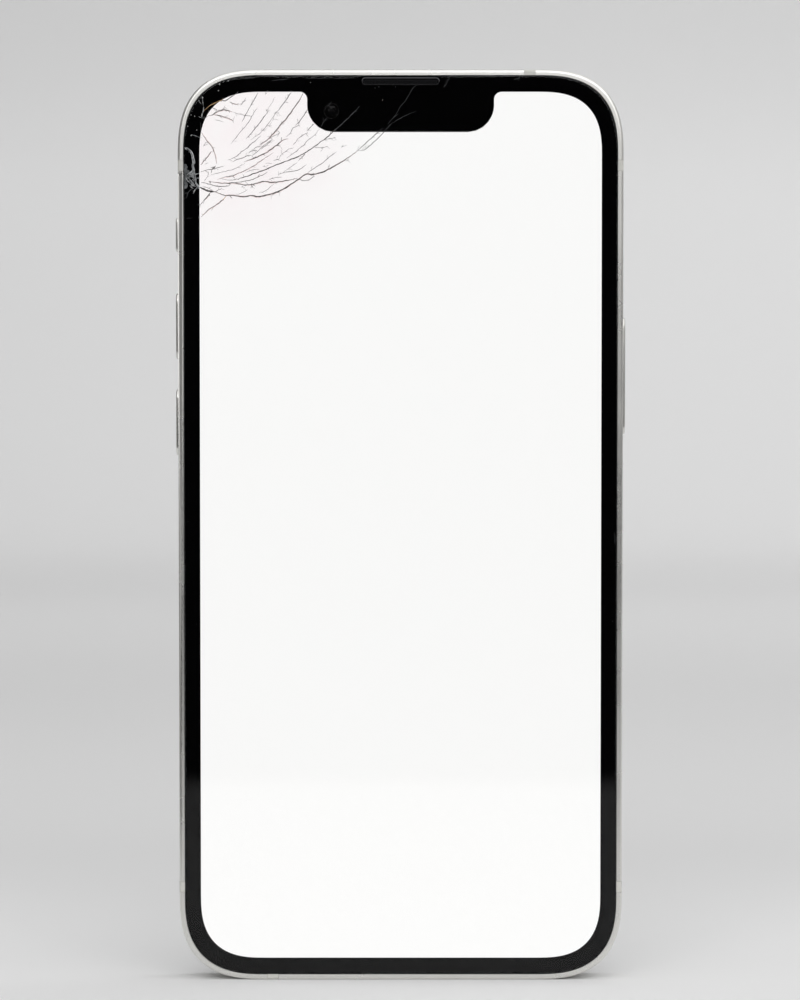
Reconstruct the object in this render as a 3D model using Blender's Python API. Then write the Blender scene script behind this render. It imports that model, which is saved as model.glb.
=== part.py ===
"""A smartphone that stands on its lower edge, its cover glass shattered at one upper corner.

The housing is one aluminium tray: a flat-sided band with the rear wall inside it. The screen sits in its
front, the rear glass in its back, and everything else lies between them. X is to the right as seen from the
front, +Z is up and the screen looks along -Y. A depth is measured from the front of the cover glass towards
the back, along +Y.
"""

import math
import random

import bmesh
import bpy
from mathutils import Vector

# Body. All lengths are in metres.
BODY_WIDTH = 0.0715
BODY_HEIGHT = 0.1467
BODY_CORNER = 0.0139  # reach of a corner's curve along each edge
CORNER_POWER = 2.7  # 2 is a circle, and more is squarer
CORNER_STEPS = 10
EDGE_ROUND = 0.0004  # rounding along the band's front and back edges
EDGE_STEPS = 2

# Housing
RIM_WIDTH = 0.00095  # metal seen beside the glass
LEDGE_WIDTH = 0.0011  # step inside the rim, which carries the screen
INNER_DEPTH = 0.00505  # room between that step and the rear wall
REAR_WALL = 0.00055
BREAK_WIDTH = 0.0018  # plastic antenna breaks through the band
BREAK_KEY = 0.0003  # how far a break reaches into the rear wall
SIDE_BREAK_FROM_TOP = 0.0153
SIDE_BREAK_FROM_BOTTOM = 0.0151
END_BREAK_X = 0.0207  # top break to the right of the middle, bottom break to the left

# Clearances
FIT = 0.0001  # close fits: glass in its rim, a button in its hole, adhesive under glass
GAP = 0.0003  # pieces that only lie beside each other
BREAK_FIT = 0.00005  # moulded plastic against the band

# Glass
GLASS_THICKNESS = 0.0007
GLASS_PROUD = 0.00015  # both glasses stand this far out of the band
GLASS_EDGE = 0.0002
REAR_THICKNESS = 0.0008

# Screen
SEAL_THICKNESS = 0.00025
PANEL_THICKNESS = 0.0003
PLATE_THICKNESS = 0.0002
FRAME_WIDTH = 0.0009
FRAME_DEPTH = 0.00075
NOTCH_WIDTH = 0.0298
NOTCH_DEPTH = 0.0067
NOTCH_CORNER = 0.0041
NOTCH_FLARE = 0.0012

# Earpiece and the sensors behind the notch
EARPIECE_WIDTH = 0.0129
EARPIECE_HEIGHT = 0.0016
MESH_THICKNESS = 0.00035
SENSOR_DROP = 0.0066  # from the top edge to the sensors' middle
FRONT_CAMERA_X = -0.0111
INFRARED_X = 0.0092
PROJECTOR_X = 0.0127
FRONT_CAMERA_BARREL = 0.0017
FRONT_CAMERA_BODY = 0.003
INFRARED_BARREL = 0.0009
INFRARED_BODY = 0.0016
PROJECTOR_SIZE = 0.003
SHEET_CORNER = 0.0012  # corners of stamped plates, shields and small cases
BRACKET_THICKNESS = 0.0003

# Rear cameras, one above the other beside the notch
CAMERA_SIZE = 0.0105
CAMERA_BESIDE_NOTCH = 0.0071
CAMERA_PITCH = 0.0148
PLATEAU_WIDTH = 0.017
PLATEAU_MARGIN = 0.0087  # from a lens's middle to the plateau's end
PLATEAU_FROM_TOP = 0.0027
PLATEAU_HEIGHT = 0.0014
PLATEAU_CORNER = 0.0078
RING_RADIUS = 0.0063
RING_HEIGHT = 0.001
LENS_RADIUS = 0.0038
FOCUS_TRAVEL = 0.00025
FLASH_RADIUS = 0.0024
FLASH_BESIDE_PLATEAU = 0.0045
MICROPHONE_HOLE = 0.0004

# Buttons
BUTTON_WIDTH = 0.0029
BUTTON_PROUD = 0.00045
BUTTON_TRAVEL = 0.00025
FLANGE_WIDTH = 0.0006  # how far a button's flange reaches past its hole
FLANGE_THICKNESS = 0.0005
SIDE_ROOM = 0.0026  # room along the side walls for buttons and their switches
POWER_FROM_TOP = 0.0491
POWER_LENGTH = 0.0188
VOLUME_LENGTH = 0.0106
VOLUME_UP_FROM_TOP = 0.0411
VOLUME_DOWN_FROM_TOP = 0.0566
SILENT_FROM_TOP = 0.0264
SILENT_LENGTH = 0.0055
SILENT_WIDTH = 0.0015
SILENT_TRAVEL = 0.0011

# SIM tray
SIM_FROM_TOP = 0.0807
SIM_HEAD_LENGTH = 0.0156
SIM_HEAD_WIDTH = 0.0024
SIM_TRAY_LENGTH = 0.0133
SIM_TRAY_DEPTH = 0.0134
SIM_TRAY_THICKNESS = 0.0007
SIM_CARD_LENGTH = 0.0121
SIM_CARD_DEPTH = 0.0086
READER_WALL = 0.00025

# Lower end
DOCK_HEIGHT = 0.0194  # room above the cavity's lower wall for the pieces beside the port
PORT_WIDTH = 0.0087
PORT_HEIGHT = 0.0027
PORT_DEPTH = 0.0062
PORT_WALL = 0.00035
TONGUE_WIDTH = 0.0066
TONGUE_THICKNESS = 0.0007
HOLE_RADIUS = 0.00065
HOLE_PITCH = 0.0022
HOLES_EACH_SIDE = 5
FIRST_HOLE_X = 0.0092
SCREW_X = 0.0066
SCREW_HEAD = 0.00078
SCREW_SHANK = 0.00048
SCREW_HEAD_LENGTH = 0.0008
SCREW_LENGTH = 0.0046
SPEAKER_INNER_X = 0.0088
HAPTIC_LENGTH = 0.0195
HAPTIC_HEIGHT = 0.0105
HAPTIC_INNER_X = 0.0092
HAPTIC_WALL = 0.0004
HAPTIC_TRAVEL = 0.0006
HAPTIC_SPRING_ROOM = 0.0014

# Board and battery
BOARD_WIDTH = 0.0229
BOARD_THICKNESS = 0.0009
BOARD_FROM_TOP = 0.0125
SHIELD_HEIGHT = 0.0018
BOARD_SCREW_INSET = 0.0021
BOSS_RADIUS = 0.00135
BATTERY_CORNER = 0.0015
BATTERY_EDGE = 0.0008
FLEX_WIDTH = 0.0072
COIL_THICKNESS = 0.00045
COIL_RADIUS = 0.022
COIL_HOLE = 0.0095
COIL_RIDGES = 4
COIL_TO_MAGNETS = 0.0019
MAGNET_WIDTH = 0.0034

# Cracks, measured in millimetres to the right of and below the cover glass's upper left corner
MM = 0.001
CRACK_DEPTH = 0.00022
CRACK_SPACING = 0.0018  # distance between the corners of a crack's path
CRACK_WANDER = 0.00006
CRACKS = [
    # Width, then the path from the struck edge outwards
    (0.20, [(1.3, 16.6), (4.4, 18.4), (9.0, 19.2), (13.2, 19.0), (18.3, 16.4), (23.7, 14.6), (27.8, 11.9),
            (33.3, 7.5)]),
    (0.14, [(28.9, 11.2), (31.5, 9.0), (35.0, 4.6), (37.2, 1.6)]),
    (0.16, [(3.9, 16.8), (10.7, 17.4), (14.6, 17.0), (18.4, 16.3)]),
    (0.16, [(6.0, 16.4), (11.1, 15.8), (16.5, 13.6), (21.5, 11.0), (24.9, 8.0), (28.1, 4.8)]),
    (0.16, [(9.6, 13.7), (14.2, 11.5), (17.1, 8.9), (19.9, 5.3)]),
    (0.16, [(10.2, 11.9), (12.5, 10.7), (16.3, 6.9), (19.1, 2.8)]),
    (0.12, [(10.7, 10.2), (13.7, 7.2), (17.1, 2.5)]),
    (0.12, [(10.0, 10.1), (12.4, 7.0), (14.4, 3.8)]),
    (0.12, [(7.9, 10.3), (10.2, 7.6), (11.8, 5.0)]),
    (0.12, [(9.3, 7.3), (11.8, 2.5)]),
    (0.12, [(16.6, 13.2), (20.4, 9.8), (22.9, 6.7)]),
    (0.12, [(19.7, 15.5), (22.4, 13.8), (24.5, 12.1)]),
    (0.12, [(7.1, 13.5), (9.9, 11.7), (12.4, 9.5)]),
    (0.14, [(2.8, 9.1), (4.9, 12.4), (5.2, 14.4), (4.3, 15.2)]),
    (0.12, [(2.7, 14.1), (4.5, 11.9)]),
    (0.12, [(2.7, 15.4), (6.5, 14.3)]),
    (0.14, [(6.8, 19.0), (4.3, 21.1), (2.5, 22.6)]),
    (0.12, [(4.3, 18.6), (2.5, 20.6)]),
    (0.12, [(2.9, 6.7), (5.6, 5.6), (9.4, 6.3)]),
    (0.12, [(3.1, 5.6), (6.3, 3.9), (8.7, 2.6)]),
    (0.20, [(0.3, 11.4), (1.3, 13.2), (1.5, 15.0), (1.3, 17.6), (0.4, 20.0)]),
]
CHIPS = [
    # Radius and how far below the corner each shell-shaped chip sits on the glass's edge
    (0.55, 14.6),
    (0.95, 15.9),
    (0.60, 17.3),
]
DENT_RADIUS = 0.0006
DENT_FROM_TOP = 0.0167

# Places that follow from the sizes above
HALF_WIDTH = BODY_WIDTH / 2
MIDDLE_Z = BODY_HEIGHT / 2
GLASS_INSET = RIM_WIDTH + FIT
CAVITY_INSET = RIM_WIDTH + LEDGE_WIDTH
CAVITY_SIDE = HALF_WIDTH - CAVITY_INSET
CAVITY_BOTTOM = CAVITY_INSET
GLASS_BACK = GLASS_THICKNESS
PANEL_FRONT = GLASS_BACK + FIT
PLATE_FRONT = PANEL_FRONT + PANEL_THICKNESS + FIT
PLATE_BACK = PLATE_FRONT + PLATE_THICKNESS
FRAME_BACK = PANEL_FRONT + FRAME_DEPTH
FRAME_INSET = CAVITY_INSET + 2 * FIT
PANEL_INSET = FRAME_INSET + FRAME_WIDTH + FIT
LEDGE_DEPTH = GLASS_BACK + FIT + SEAL_THICKNESS + FIT
FLOOR_FRONT = LEDGE_DEPTH + INNER_DEPTH
FLOOR_BACK = FLOOR_FRONT + REAR_WALL
REAR_FRONT = FLOOR_BACK + FIT
REAR_BACK = REAR_FRONT + REAR_THICKNESS
BAND_FRONT = GLASS_PROUD
BAND_BACK = REAR_BACK - GLASS_PROUD
BAND_MIDDLE = (BAND_FRONT + BAND_BACK) / 2
PLATEAU_BACK = REAR_BACK + PLATEAU_HEIGHT
FRONT_Y = -(PLATEAU_BACK + RING_HEIGHT) / 2  # the whole phone, rings included, is centred on Y
INNER_FRONT = FRAME_BACK + GAP  # from here to INNER_BACK lies the room for the pieces inside
INNER_BACK = FLOOR_FRONT - GAP
BOARD_FRONT = BAND_MIDDLE + SIM_TRAY_THICKNESS / 2 + 2 * FIT + READER_WALL + FIT
BOARD_BACK = BOARD_FRONT + BOARD_THICKNESS
CAMERA_X = NOTCH_WIDTH / 2 + CAMERA_BESIDE_NOTCH
UPPER_LENS_Z = BODY_HEIGHT - PLATEAU_FROM_TOP - PLATEAU_MARGIN
LOWER_LENS_Z = UPPER_LENS_Z - CAMERA_PITCH
FLASH_X = CAMERA_X - PLATEAU_WIDTH / 2 - FLASH_BESIDE_PLATEAU
MICROPHONE_Z = UPPER_LENS_Z - CAMERA_PITCH / 2
SIM_Z = BODY_HEIGHT - SIM_FROM_TOP
BOARD_LEFT = -CAVITY_SIDE + SIDE_ROOM
BOARD_RIGHT = BOARD_LEFT + BOARD_WIDTH
BOARD_TOP = BODY_HEIGHT - BOARD_FROM_TOP
BOARD_BOTTOM = SIM_Z - SIM_TRAY_LENGTH / 2 - 2 * BOARD_SCREW_INSET - 2 * GAP
DOCK_TOP = CAVITY_BOTTOM + DOCK_HEIGHT
BATTERY_TOP = LOWER_LENS_Z - CAMERA_SIZE / 2 - 4 * GAP
ARM_BOTTOM = BATTERY_TOP + 3 * GAP
ARM_RIGHT = CAMERA_X - CAMERA_SIZE / 2 - 4 * GAP
MAGNET_INNER = COIL_RADIUS + COIL_TO_MAGNETS
MAGNET_OUTER = MAGNET_INNER + MAGNET_WIDTH


# Shapes

def y_at(depth):
    """World Y of a depth behind the front of the cover glass."""
    return FRONT_Y + depth


def placed(outline, axis, where):
    """An outline's points in space: in XZ for axis Y, in YZ for axis X and in XY for axis Z."""
    if axis == "X":
        return [(where, u, v) for u, v in outline]
    if axis == "Y":
        return [(u, where, v) for u, v in outline]
    return [(u, v, where) for u, v in outline]


def quarter(centre, reach, quadrant, steps, power=2.0):
    """Points round one quarter of a superellipse, anticlockwise from the start of the quadrant."""
    points = []
    for step in range(steps + 1):
        angle = math.pi / 2 * step / steps
        along = math.cos(angle) ** (2 / power) if step < steps else 0.0
        across = math.sin(angle) ** (2 / power)
        u, v = [(along, across), (-across, along), (-along, -across), (across, -along)][quadrant]
        points.append((centre[0] + reach * u, centre[1] + reach * v))
    return points


def rounded_outline(centre, width, height, corner, steps=3, power=2.0):
    """A rectangle with rounded corners, anticlockwise."""
    u, v = width / 2 - corner, height / 2 - corner
    middles = [(u, v), (-u, v), (-u, -v), (u, -v)]
    points = []
    for quadrant, (du, dv) in enumerate(middles):
        points += quarter((centre[0] + du, centre[1] + dv), corner, quadrant, steps, power)
    return points


def fillet(before, corner, after, radius, steps):
    """Points of an arc that rounds the corner between two straight edges."""
    corner = Vector(corner)
    back = (Vector(before) - corner).normalized()
    ahead = (Vector(after) - corner).normalized()
    half = back.angle(ahead) / 2
    centre = corner + (back + ahead).normalized() * radius / math.sin(half)
    start = corner + back * radius / math.tan(half) - centre
    turn = start.angle_signed(corner + ahead * radius / math.tan(half) - centre)
    points = []
    for step in range(steps + 1):
        angle = -turn * step / steps
        cosine, sine = math.cos(angle), math.sin(angle)
        turned_x = start.x * cosine - start.y * sine
        turned_y = start.x * sine + start.y * cosine
        points.append((centre.x + turned_x, centre.y + turned_y))
    return points


def filleted(corners, steps=3):
    """An outline through (u, v, radius) corners."""
    points = []
    for index, (u, v, radius) in enumerate(corners):
        before = corners[index - 1][:2]
        after = corners[(index + 1) % len(corners)][:2]
        points += fillet(before, (u, v), after, radius, steps)
    return points


def body_outline(inset):
    """The body's outline seen from the front, moved inwards."""
    size = (BODY_WIDTH - 2 * inset, BODY_HEIGHT - 2 * inset)
    return rounded_outline((0, MIDDLE_Z), *size, BODY_CORNER - inset, CORNER_STEPS, CORNER_POWER)


def notched_outline(inset):
    """The body's outline moved inwards, with the notch let into its upper edge."""
    points = body_outline(inset)
    per_corner = CORNER_STEPS + 1
    half = NOTCH_WIDTH / 2
    top = BODY_HEIGHT - inset
    bottom = top - NOTCH_DEPTH
    right, left = points[per_corner - 1], points[per_corner]
    notch = fillet(right, (half, top), (half, bottom), NOTCH_FLARE, 2)
    notch += fillet((half, top), (half, bottom), (-half, bottom), NOTCH_CORNER, 5)
    notch += fillet((half, bottom), (-half, bottom), (-half, top), NOTCH_CORNER, 5)
    notch += fillet((-half, bottom), (-half, top), left, NOTCH_FLARE, 2)
    return points[:per_corner] + notch + points[per_corner:]


def edge_round(radius, steps=EDGE_STEPS):
    """Pairs of inset and setback round an edge, from the face to the side."""
    pairs = []
    for step in range(steps + 1):
        angle = math.pi / 2 * step / steps
        pairs.append((radius * (1 - math.sin(angle)), radius * (1 - math.cos(angle))))
    return pairs


def material(name, red, green, blue, metallic, roughness):
    """A Principled material from an sRGB colour."""
    skin = bpy.data.materials.new(name)
    skin.use_nodes = True
    shader = skin.node_tree.nodes["Principled BSDF"]
    linear = [((c / 255 + 0.055) / 1.055) ** 2.4 if c > 10 else c / 255 / 12.92 for c in (red, green, blue)]
    shader.inputs["Base Color"].default_value = (*linear, 1)
    shader.inputs["Metallic"].default_value = metallic
    shader.inputs["Roughness"].default_value = roughness
    return skin


def finished(name, mesh_data, skin):
    """Turns built geometry into an object. One without a skin is a cutter."""
    bmesh.ops.recalc_face_normals(mesh_data, faces=mesh_data.faces)
    mesh = bpy.data.meshes.new(name)
    mesh_data.to_mesh(mesh)
    mesh_data.free()
    mesh.shade_smooth()
    mesh.set_sharp_from_angle(angle=math.radians(35))
    piece = bpy.data.objects.new(name, mesh)
    bpy.context.scene.collection.objects.link(piece)
    if skin:
        mesh.materials.append(skin)
    else:
        piece.display_type = "WIRE"
        piece.hide_render = True
    return piece


def skin_over(built, rings, endless=False):
    """Adds a body skinned over rings of points, capped at both ends unless the last ring meets the first."""
    loops = [[built.verts.new(point) for point in ring] for ring in rings]
    pairs = list(zip(loops, loops[1:]))
    if endless:
        pairs.append((loops[-1], loops[0]))
    else:
        built.faces.new(loops[0])
        built.faces.new(loops[-1])
    for near, far in pairs:
        for index in range(len(near)):
            built.faces.new((near[index - 1], near[index], far[index], far[index - 1]))


def loft(name, rings, skin=None, endless=False):
    """A body skinned over rings of points."""
    built = bmesh.new()
    skin_over(built, rings, endless)
    return finished(name, built, skin)


def extrusion(name, outline, axis, start, end, skin=None):
    """An outline drawn along an axis."""
    return loft(name, [placed(outline, axis, start), placed(outline, axis, end)], skin)


def pegs(name, outlines, axis, start, end):
    """A cutter of several outlines drawn along an axis, none of which touches the next."""
    built = bmesh.new()
    for outline in outlines:
        skin_over(built, [placed(outline, axis, start), placed(outline, axis, end)])
    return finished(name, built, None)


def block(name, low, high, skin=None):
    """A plain box between two corners, each an X, a depth and a Z."""
    built = bmesh.new()
    bmesh.ops.create_cube(built, size=1)
    low = Vector((low[0], y_at(low[1]), low[2]))
    high = Vector((high[0], y_at(high[1]), high[2]))
    for vert in built.verts:
        vert.co = [low[i] if vert.co[i] < 0 else high[i] for i in range(3)]
    return finished(name, built, skin)


def circle(centre, radius, steps):
    """Points round a circle."""
    angles = [math.tau * step / steps for step in range(steps)]
    return [(centre[0] + radius * math.cos(a), centre[1] + radius * math.sin(a)) for a in angles]


def turned(name, axis, centre, profile, steps, skin=None, closed=False):
    """A profile of (radius, place along the axis) points, turned about the axis."""
    built = bmesh.new()
    if axis == "Y":
        points = [(centre[0] + radius, where, centre[2]) for radius, where in profile]
        direction = (0, 1, 0)
    else:
        points = [(centre[0] + radius, centre[1], where) for radius, where in profile]
        direction = (0, 0, 1)
    verts = [built.verts.new(point) for point in points]
    edges = [built.edges.new(pair) for pair in zip(verts, verts[1:])]
    if closed:
        edges.append(built.edges.new((verts[-1], verts[0])))
    bmesh.ops.spin(built, geom=verts + edges, cent=centre, axis=direction, angle=math.tau, steps=steps)
    bmesh.ops.remove_doubles(built, verts=built.verts, dist=1e-7)
    return finished(name, built, skin)


def combine(piece, operation, others):
    """Adds a Boolean for each other object."""
    for other in others:
        step = piece.modifiers.new(other.name, "BOOLEAN")
        step.operation = operation
        step.solver = "EXACT"
        step.object = other
    return piece


def cut(piece, *cutters):
    return combine(piece, "DIFFERENCE", cutters)


def moving(piece, x, depth, z):
    """Puts the origin of a piece that moves on its joint's axis."""
    origin = Vector((x, y_at(depth), z))
    for vert in piece.data.vertices:
        vert.co -= origin
    piece.location = origin
    return piece


def sections(rings):
    """The body's outline at each pair of inset and depth."""
    return [placed(body_outline(inset), "Y", y_at(depth)) for inset, depth in rings]


# Housing

def housing_blank(name, skin):
    """The band and rear wall in one, from the cavity's floor, round the band and to the rear recess."""
    rings = [(CAVITY_INSET, FLOOR_FRONT), (CAVITY_INSET, LEDGE_DEPTH)]
    rings += [(RIM_WIDTH, LEDGE_DEPTH), (RIM_WIDTH, BAND_FRONT)]
    rings += [(inset, BAND_FRONT + back) for inset, back in edge_round(EDGE_ROUND)]
    rings += [(inset, BAND_BACK - back) for inset, back in reversed(edge_round(EDGE_ROUND))]
    rings += [(RIM_WIDTH, BAND_BACK), (RIM_WIDTH, FLOOR_BACK)]
    return loft(name, sections(rings), skin)


def break_block(name, x_side, z_side, place, clearance):
    """The slab of band at an antenna break. One of x_side and z_side is -1 or 1, and the other is 0."""
    half = BREAK_WIDTH / 2 - clearance
    reach = CAVITY_INSET + BREAK_KEY - clearance
    outside = 2 * EDGE_ROUND
    if x_side:
        edges = sorted((x_side * (HALF_WIDTH + outside), x_side * (HALF_WIDTH - reach)))
        low, high = (edges[0], -outside, place - half), (edges[1], REAR_BACK + outside, place + half)
    else:
        edge = BODY_HEIGHT if z_side > 0 else 0
        edges = sorted((edge + z_side * outside, edge - z_side * reach))
        low, high = (place - half, -outside, edges[0]), (place + half, REAR_BACK + outside, edges[1])
    return block(name, low, high)


BREAKS = {
    "antenna_break_upper_left": (-1, 0, BODY_HEIGHT - SIDE_BREAK_FROM_TOP),
    "antenna_break_upper_right": (1, 0, BODY_HEIGHT - SIDE_BREAK_FROM_TOP),
    "antenna_break_lower_left": (-1, 0, SIDE_BREAK_FROM_BOTTOM),
    "antenna_break_lower_right": (1, 0, SIDE_BREAK_FROM_BOTTOM),
    "antenna_break_top": (0, 1, END_BREAK_X),
    "antenna_break_bottom": (0, -1, -END_BREAK_X),
}


def antenna_breaks(skin):
    """Each break is the band's own section between the faces of its slot."""
    for name, (x_side, z_side, place) in BREAKS.items():
        piece = housing_blank(name, skin)
        combine(piece, "INTERSECT", [break_block(name + "_span", x_side, z_side, place, BREAK_FIT)])


BUTTONS = [
    ("power", 1, POWER_FROM_TOP, POWER_LENGTH),
    ("volume_up", -1, VOLUME_UP_FROM_TOP, VOLUME_LENGTH),
    ("volume_down", -1, VOLUME_DOWN_FROM_TOP, VOLUME_LENGTH),
]


def side_hole(name, side, z, length, width, travel=0.0):
    """A hole through one side of the band for a long head, with room for the head to slide along Y."""
    size = (width + travel + 2 * FIT, length + 2 * FIT)
    outline = rounded_outline((y_at(BAND_MIDDLE), z), *size, width / 2)
    edges = sorted((side * (HALF_WIDTH + GAP), side * (CAVITY_SIDE - GAP)))
    return extrusion(name, outline, "X", *edges)


def floor_holes():
    """The round holes through the rear wall: for the coil and magnets, lenses, flash and microphone."""
    lens_opening = LENS_RADIUS + 4 * GAP + FIT
    outlines = [
        circle((0, MIDDLE_Z), MAGNET_OUTER + GAP, 40),
        circle((CAMERA_X, UPPER_LENS_Z), lens_opening, 20),
        circle((CAMERA_X, LOWER_LENS_Z), lens_opening, 20),
        circle((FLASH_X, UPPER_LENS_Z), FLASH_RADIUS + GAP, 14),
        circle((FLASH_X, MICROPHONE_Z), MICROPHONE_HOLE + FIT, 8),
    ]
    return pegs("floor_holes", outlines, "Y", y_at(FLOOR_FRONT - GAP), y_at(FLOOR_BACK + GAP))


def end_holes():
    """The sound holes through the lower end, in two rows beside the port."""
    outlines = []
    for side in (-1, 1):
        for index in range(HOLES_EACH_SIDE):
            x = side * (FIRST_HOLE_X + HOLE_PITCH * index)
            outlines.append(circle((x, y_at(BAND_MIDDLE)), HOLE_RADIUS, 10))
    return pegs("end_holes", outlines, "Z", -GAP, CAVITY_BOTTOM + GAP)


def screw_hole(name, x):
    """A counterbored hole for one of the two screws in the lower end."""
    profile = [(0, -GAP), (SCREW_HEAD + FIT, -GAP), (SCREW_HEAD + FIT, SCREW_HEAD_LENGTH + 2 * FIT)]
    profile += [(SCREW_SHANK + FIT, SCREW_HEAD_LENGTH + 2 * FIT), (SCREW_SHANK + FIT, CAVITY_BOTTOM + GAP)]
    profile += [(0, CAVITY_BOTTOM + GAP)]
    return turned(name, "Z", (x, y_at(BAND_MIDDLE), 0), profile, 14)


def board_screw_places():
    """The middles of the board's screws, near its upper left, lower left and upper right corners."""
    low, high = BOARD_BOTTOM + BOARD_SCREW_INSET, BOARD_TOP - BOARD_SCREW_INSET
    left, right = BOARD_LEFT + BOARD_SCREW_INSET, ARM_RIGHT - BOARD_SCREW_INSET
    return {"lower_left": (left, low), "upper_left": (left, high), "upper_right": (right, high)}


def boss(name, x, z):
    """A stand-off on the rear wall that a board screw goes into."""
    front, back = y_at(BOARD_BACK + FIT), y_at(FLOOR_FRONT + REAR_WALL / 2)
    return extrusion(name, circle((x, z), BOSS_RADIUS, 12), "Y", front, back)


def make_housing(skin):
    """The blank with its bosses, breaks, holes and openings."""
    housing = housing_blank("housing", skin)
    places = board_screw_places()
    combine(housing, "UNION", [boss("boss_" + name, *place) for name, place in places.items()])
    for name, (x_side, z_side, place) in BREAKS.items():
        cut(housing, break_block(name + "_slot", x_side, z_side, place, 0))
    for name, side, drop, length in BUTTONS:
        cut(housing, side_hole(name + "_hole", side, BODY_HEIGHT - drop, length, BUTTON_WIDTH))
    silent = (SILENT_LENGTH, SILENT_WIDTH, SILENT_TRAVEL)
    cut(housing, side_hole("silent_hole", -1, BODY_HEIGHT - SILENT_FROM_TOP, *silent))
    cut(housing, side_hole("sim_hole", -1, SIM_Z, SIM_HEAD_LENGTH, SIM_HEAD_WIDTH))
    port = rounded_outline((0, y_at(BAND_MIDDLE)), PORT_WIDTH, PORT_HEIGHT, PORT_HEIGHT / 2 - FIT, 4)
    cut(housing, extrusion("port_hole", port, "Z", -GAP, CAVITY_BOTTOM + GAP))
    cut(housing, end_holes())
    cut(housing, screw_hole("screw_hole_left", -SCREW_X), screw_hole("screw_hole_right", SCREW_X))
    threads = [circle(place, SCREW_SHANK + FIT, 10) for place in places.values()]
    cut(housing, floor_holes(), pegs("threads", threads, "Y", y_at(BOARD_BACK), y_at(FLOOR_FRONT)))
    dent = bmesh.new()
    bmesh.ops.create_icosphere(dent, subdivisions=1, radius=DENT_RADIUS)
    dent_middle = Vector((-HALF_WIDTH, y_at(BAND_FRONT), BODY_HEIGHT - DENT_FROM_TOP))
    bmesh.ops.translate(dent, verts=dent.verts, vec=dent_middle)
    return cut(housing, finished("dent", dent, None))


# Cover glass and its cracks

def glass_point(right, down):
    """A point of the glass's front from millimetres right of and below its upper left corner."""
    return Vector((-HALF_WIDTH + GLASS_INSET + right * MM, BODY_HEIGHT - GLASS_INSET - down * MM))


def crack_path(corners, chance):
    """A crack's own path: smooth through its corners, with a little seeded wander as glass breaks."""
    points = [glass_point(*corner) for corner in corners]
    points = [2 * points[0] - points[1], *points, 2 * points[-1] - points[-2]]
    path = []
    for before, start, end, after in zip(points, points[1:], points[2:], points[3:]):
        steps = max(1, round((end - start).length / CRACK_SPACING))
        for step in range(steps):
            t = step / steps
            smooth = 2 * start + (end - before) * t
            smooth = smooth + (2 * before - 5 * start + 4 * end - after) * t**2
            smooth = smooth + (3 * start - before - 3 * end + after) * t**3
            path.append(smooth / 2)
    path.append(points[-2])
    for point in path[1:-1]:
        point += Vector((chance.uniform(-1, 1), chance.uniform(-1, 1))) * CRACK_WANDER
    return path


def crack_cutter(name, width, corners, chance):
    """A V-shaped groove that follows a crack and dies away towards its tip."""
    path = crack_path(corners, chance)
    rings = []
    for index, point in enumerate(path):
        ahead = path[min(index + 1, len(path) - 1)] - path[max(index - 1, 0)]
        side = Vector((-ahead.y, ahead.x)).normalized()
        fade = 1 - 0.75 * index / (len(path) - 1)
        reach = side * width * MM * fade
        lip, bottom = y_at(-CRACK_DEPTH * fade), y_at(CRACK_DEPTH * fade)
        near, far = point + reach, point - reach
        rings.append([(near.x, lip, near.y), (point.x, bottom, point.y), (far.x, lip, far.y)])
    return loft(name, rings)


def make_cover_glass(skin):
    """The front glass: rounded edge, earpiece slot in its upper edge, chips and cracks."""
    rings = [(GLASS_INSET + inset, back) for inset, back in edge_round(GLASS_EDGE)]
    rings.append((GLASS_INSET, GLASS_BACK))
    glass = loft("cover_glass", sections(rings), skin)
    top = BODY_HEIGHT - GLASS_INSET
    half = EARPIECE_WIDTH / 2
    corner = EARPIECE_HEIGHT / 2
    slot = [(-half, top + corner, FIT), (-half, top - EARPIECE_HEIGHT, corner)]
    slot += [(half, top - EARPIECE_HEIGHT, corner), (half, top + corner, FIT)]
    cut(glass, extrusion("earpiece_slot", filleted(slot), "Y", y_at(-GAP), y_at(GLASS_BACK + GAP)))
    for index, (radius, down) in enumerate(CHIPS):
        built = bmesh.new()
        bmesh.ops.create_icosphere(built, subdivisions=2, radius=radius * MM)
        edge = glass_point(0, down)
        bmesh.ops.scale(built, verts=built.verts, vec=(1, 0.5, 1.1))
        bmesh.ops.translate(built, verts=built.verts, vec=(edge.x, y_at(0), edge.y))
        cut(glass, finished(f"chip_{index + 1}", built, None))
    chance = random.Random(11)
    for index, (width, corners) in enumerate(CRACKS):
        cut(glass, crack_cutter(f"crack_{index + 1}", width, corners, chance))
    return glass


# Screen

def ring_piece(name, outer, inner, front, back, skin):
    """A flat frame that follows the body's outline between two insets."""
    rings = [(outer, front), (outer, back), (inner, back), (inner, front)]
    return loft(name, sections(rings), skin, endless=True)


def make_screen(plastic, panel, steel, foam):
    """What is bonded behind the cover glass, and the seal that the glass is pressed on."""
    outline = notched_outline(PANEL_INSET)
    extrusion("display_panel", outline, "Y", y_at(PANEL_FRONT), y_at(PANEL_FRONT + PANEL_THICKNESS), panel)
    extrusion("display_back_plate", outline, "Y", y_at(PLATE_FRONT), y_at(PLATE_BACK), steel)
    ring_piece("display_frame", FRAME_INSET, FRAME_INSET + FRAME_WIDTH, PANEL_FRONT, FRAME_BACK, plastic)
    seal_front = GLASS_BACK + FIT
    ring_piece("screen_seal", GLASS_INSET, CAVITY_INSET - FIT, seal_front, seal_front + SEAL_THICKNESS, foam)


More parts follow.
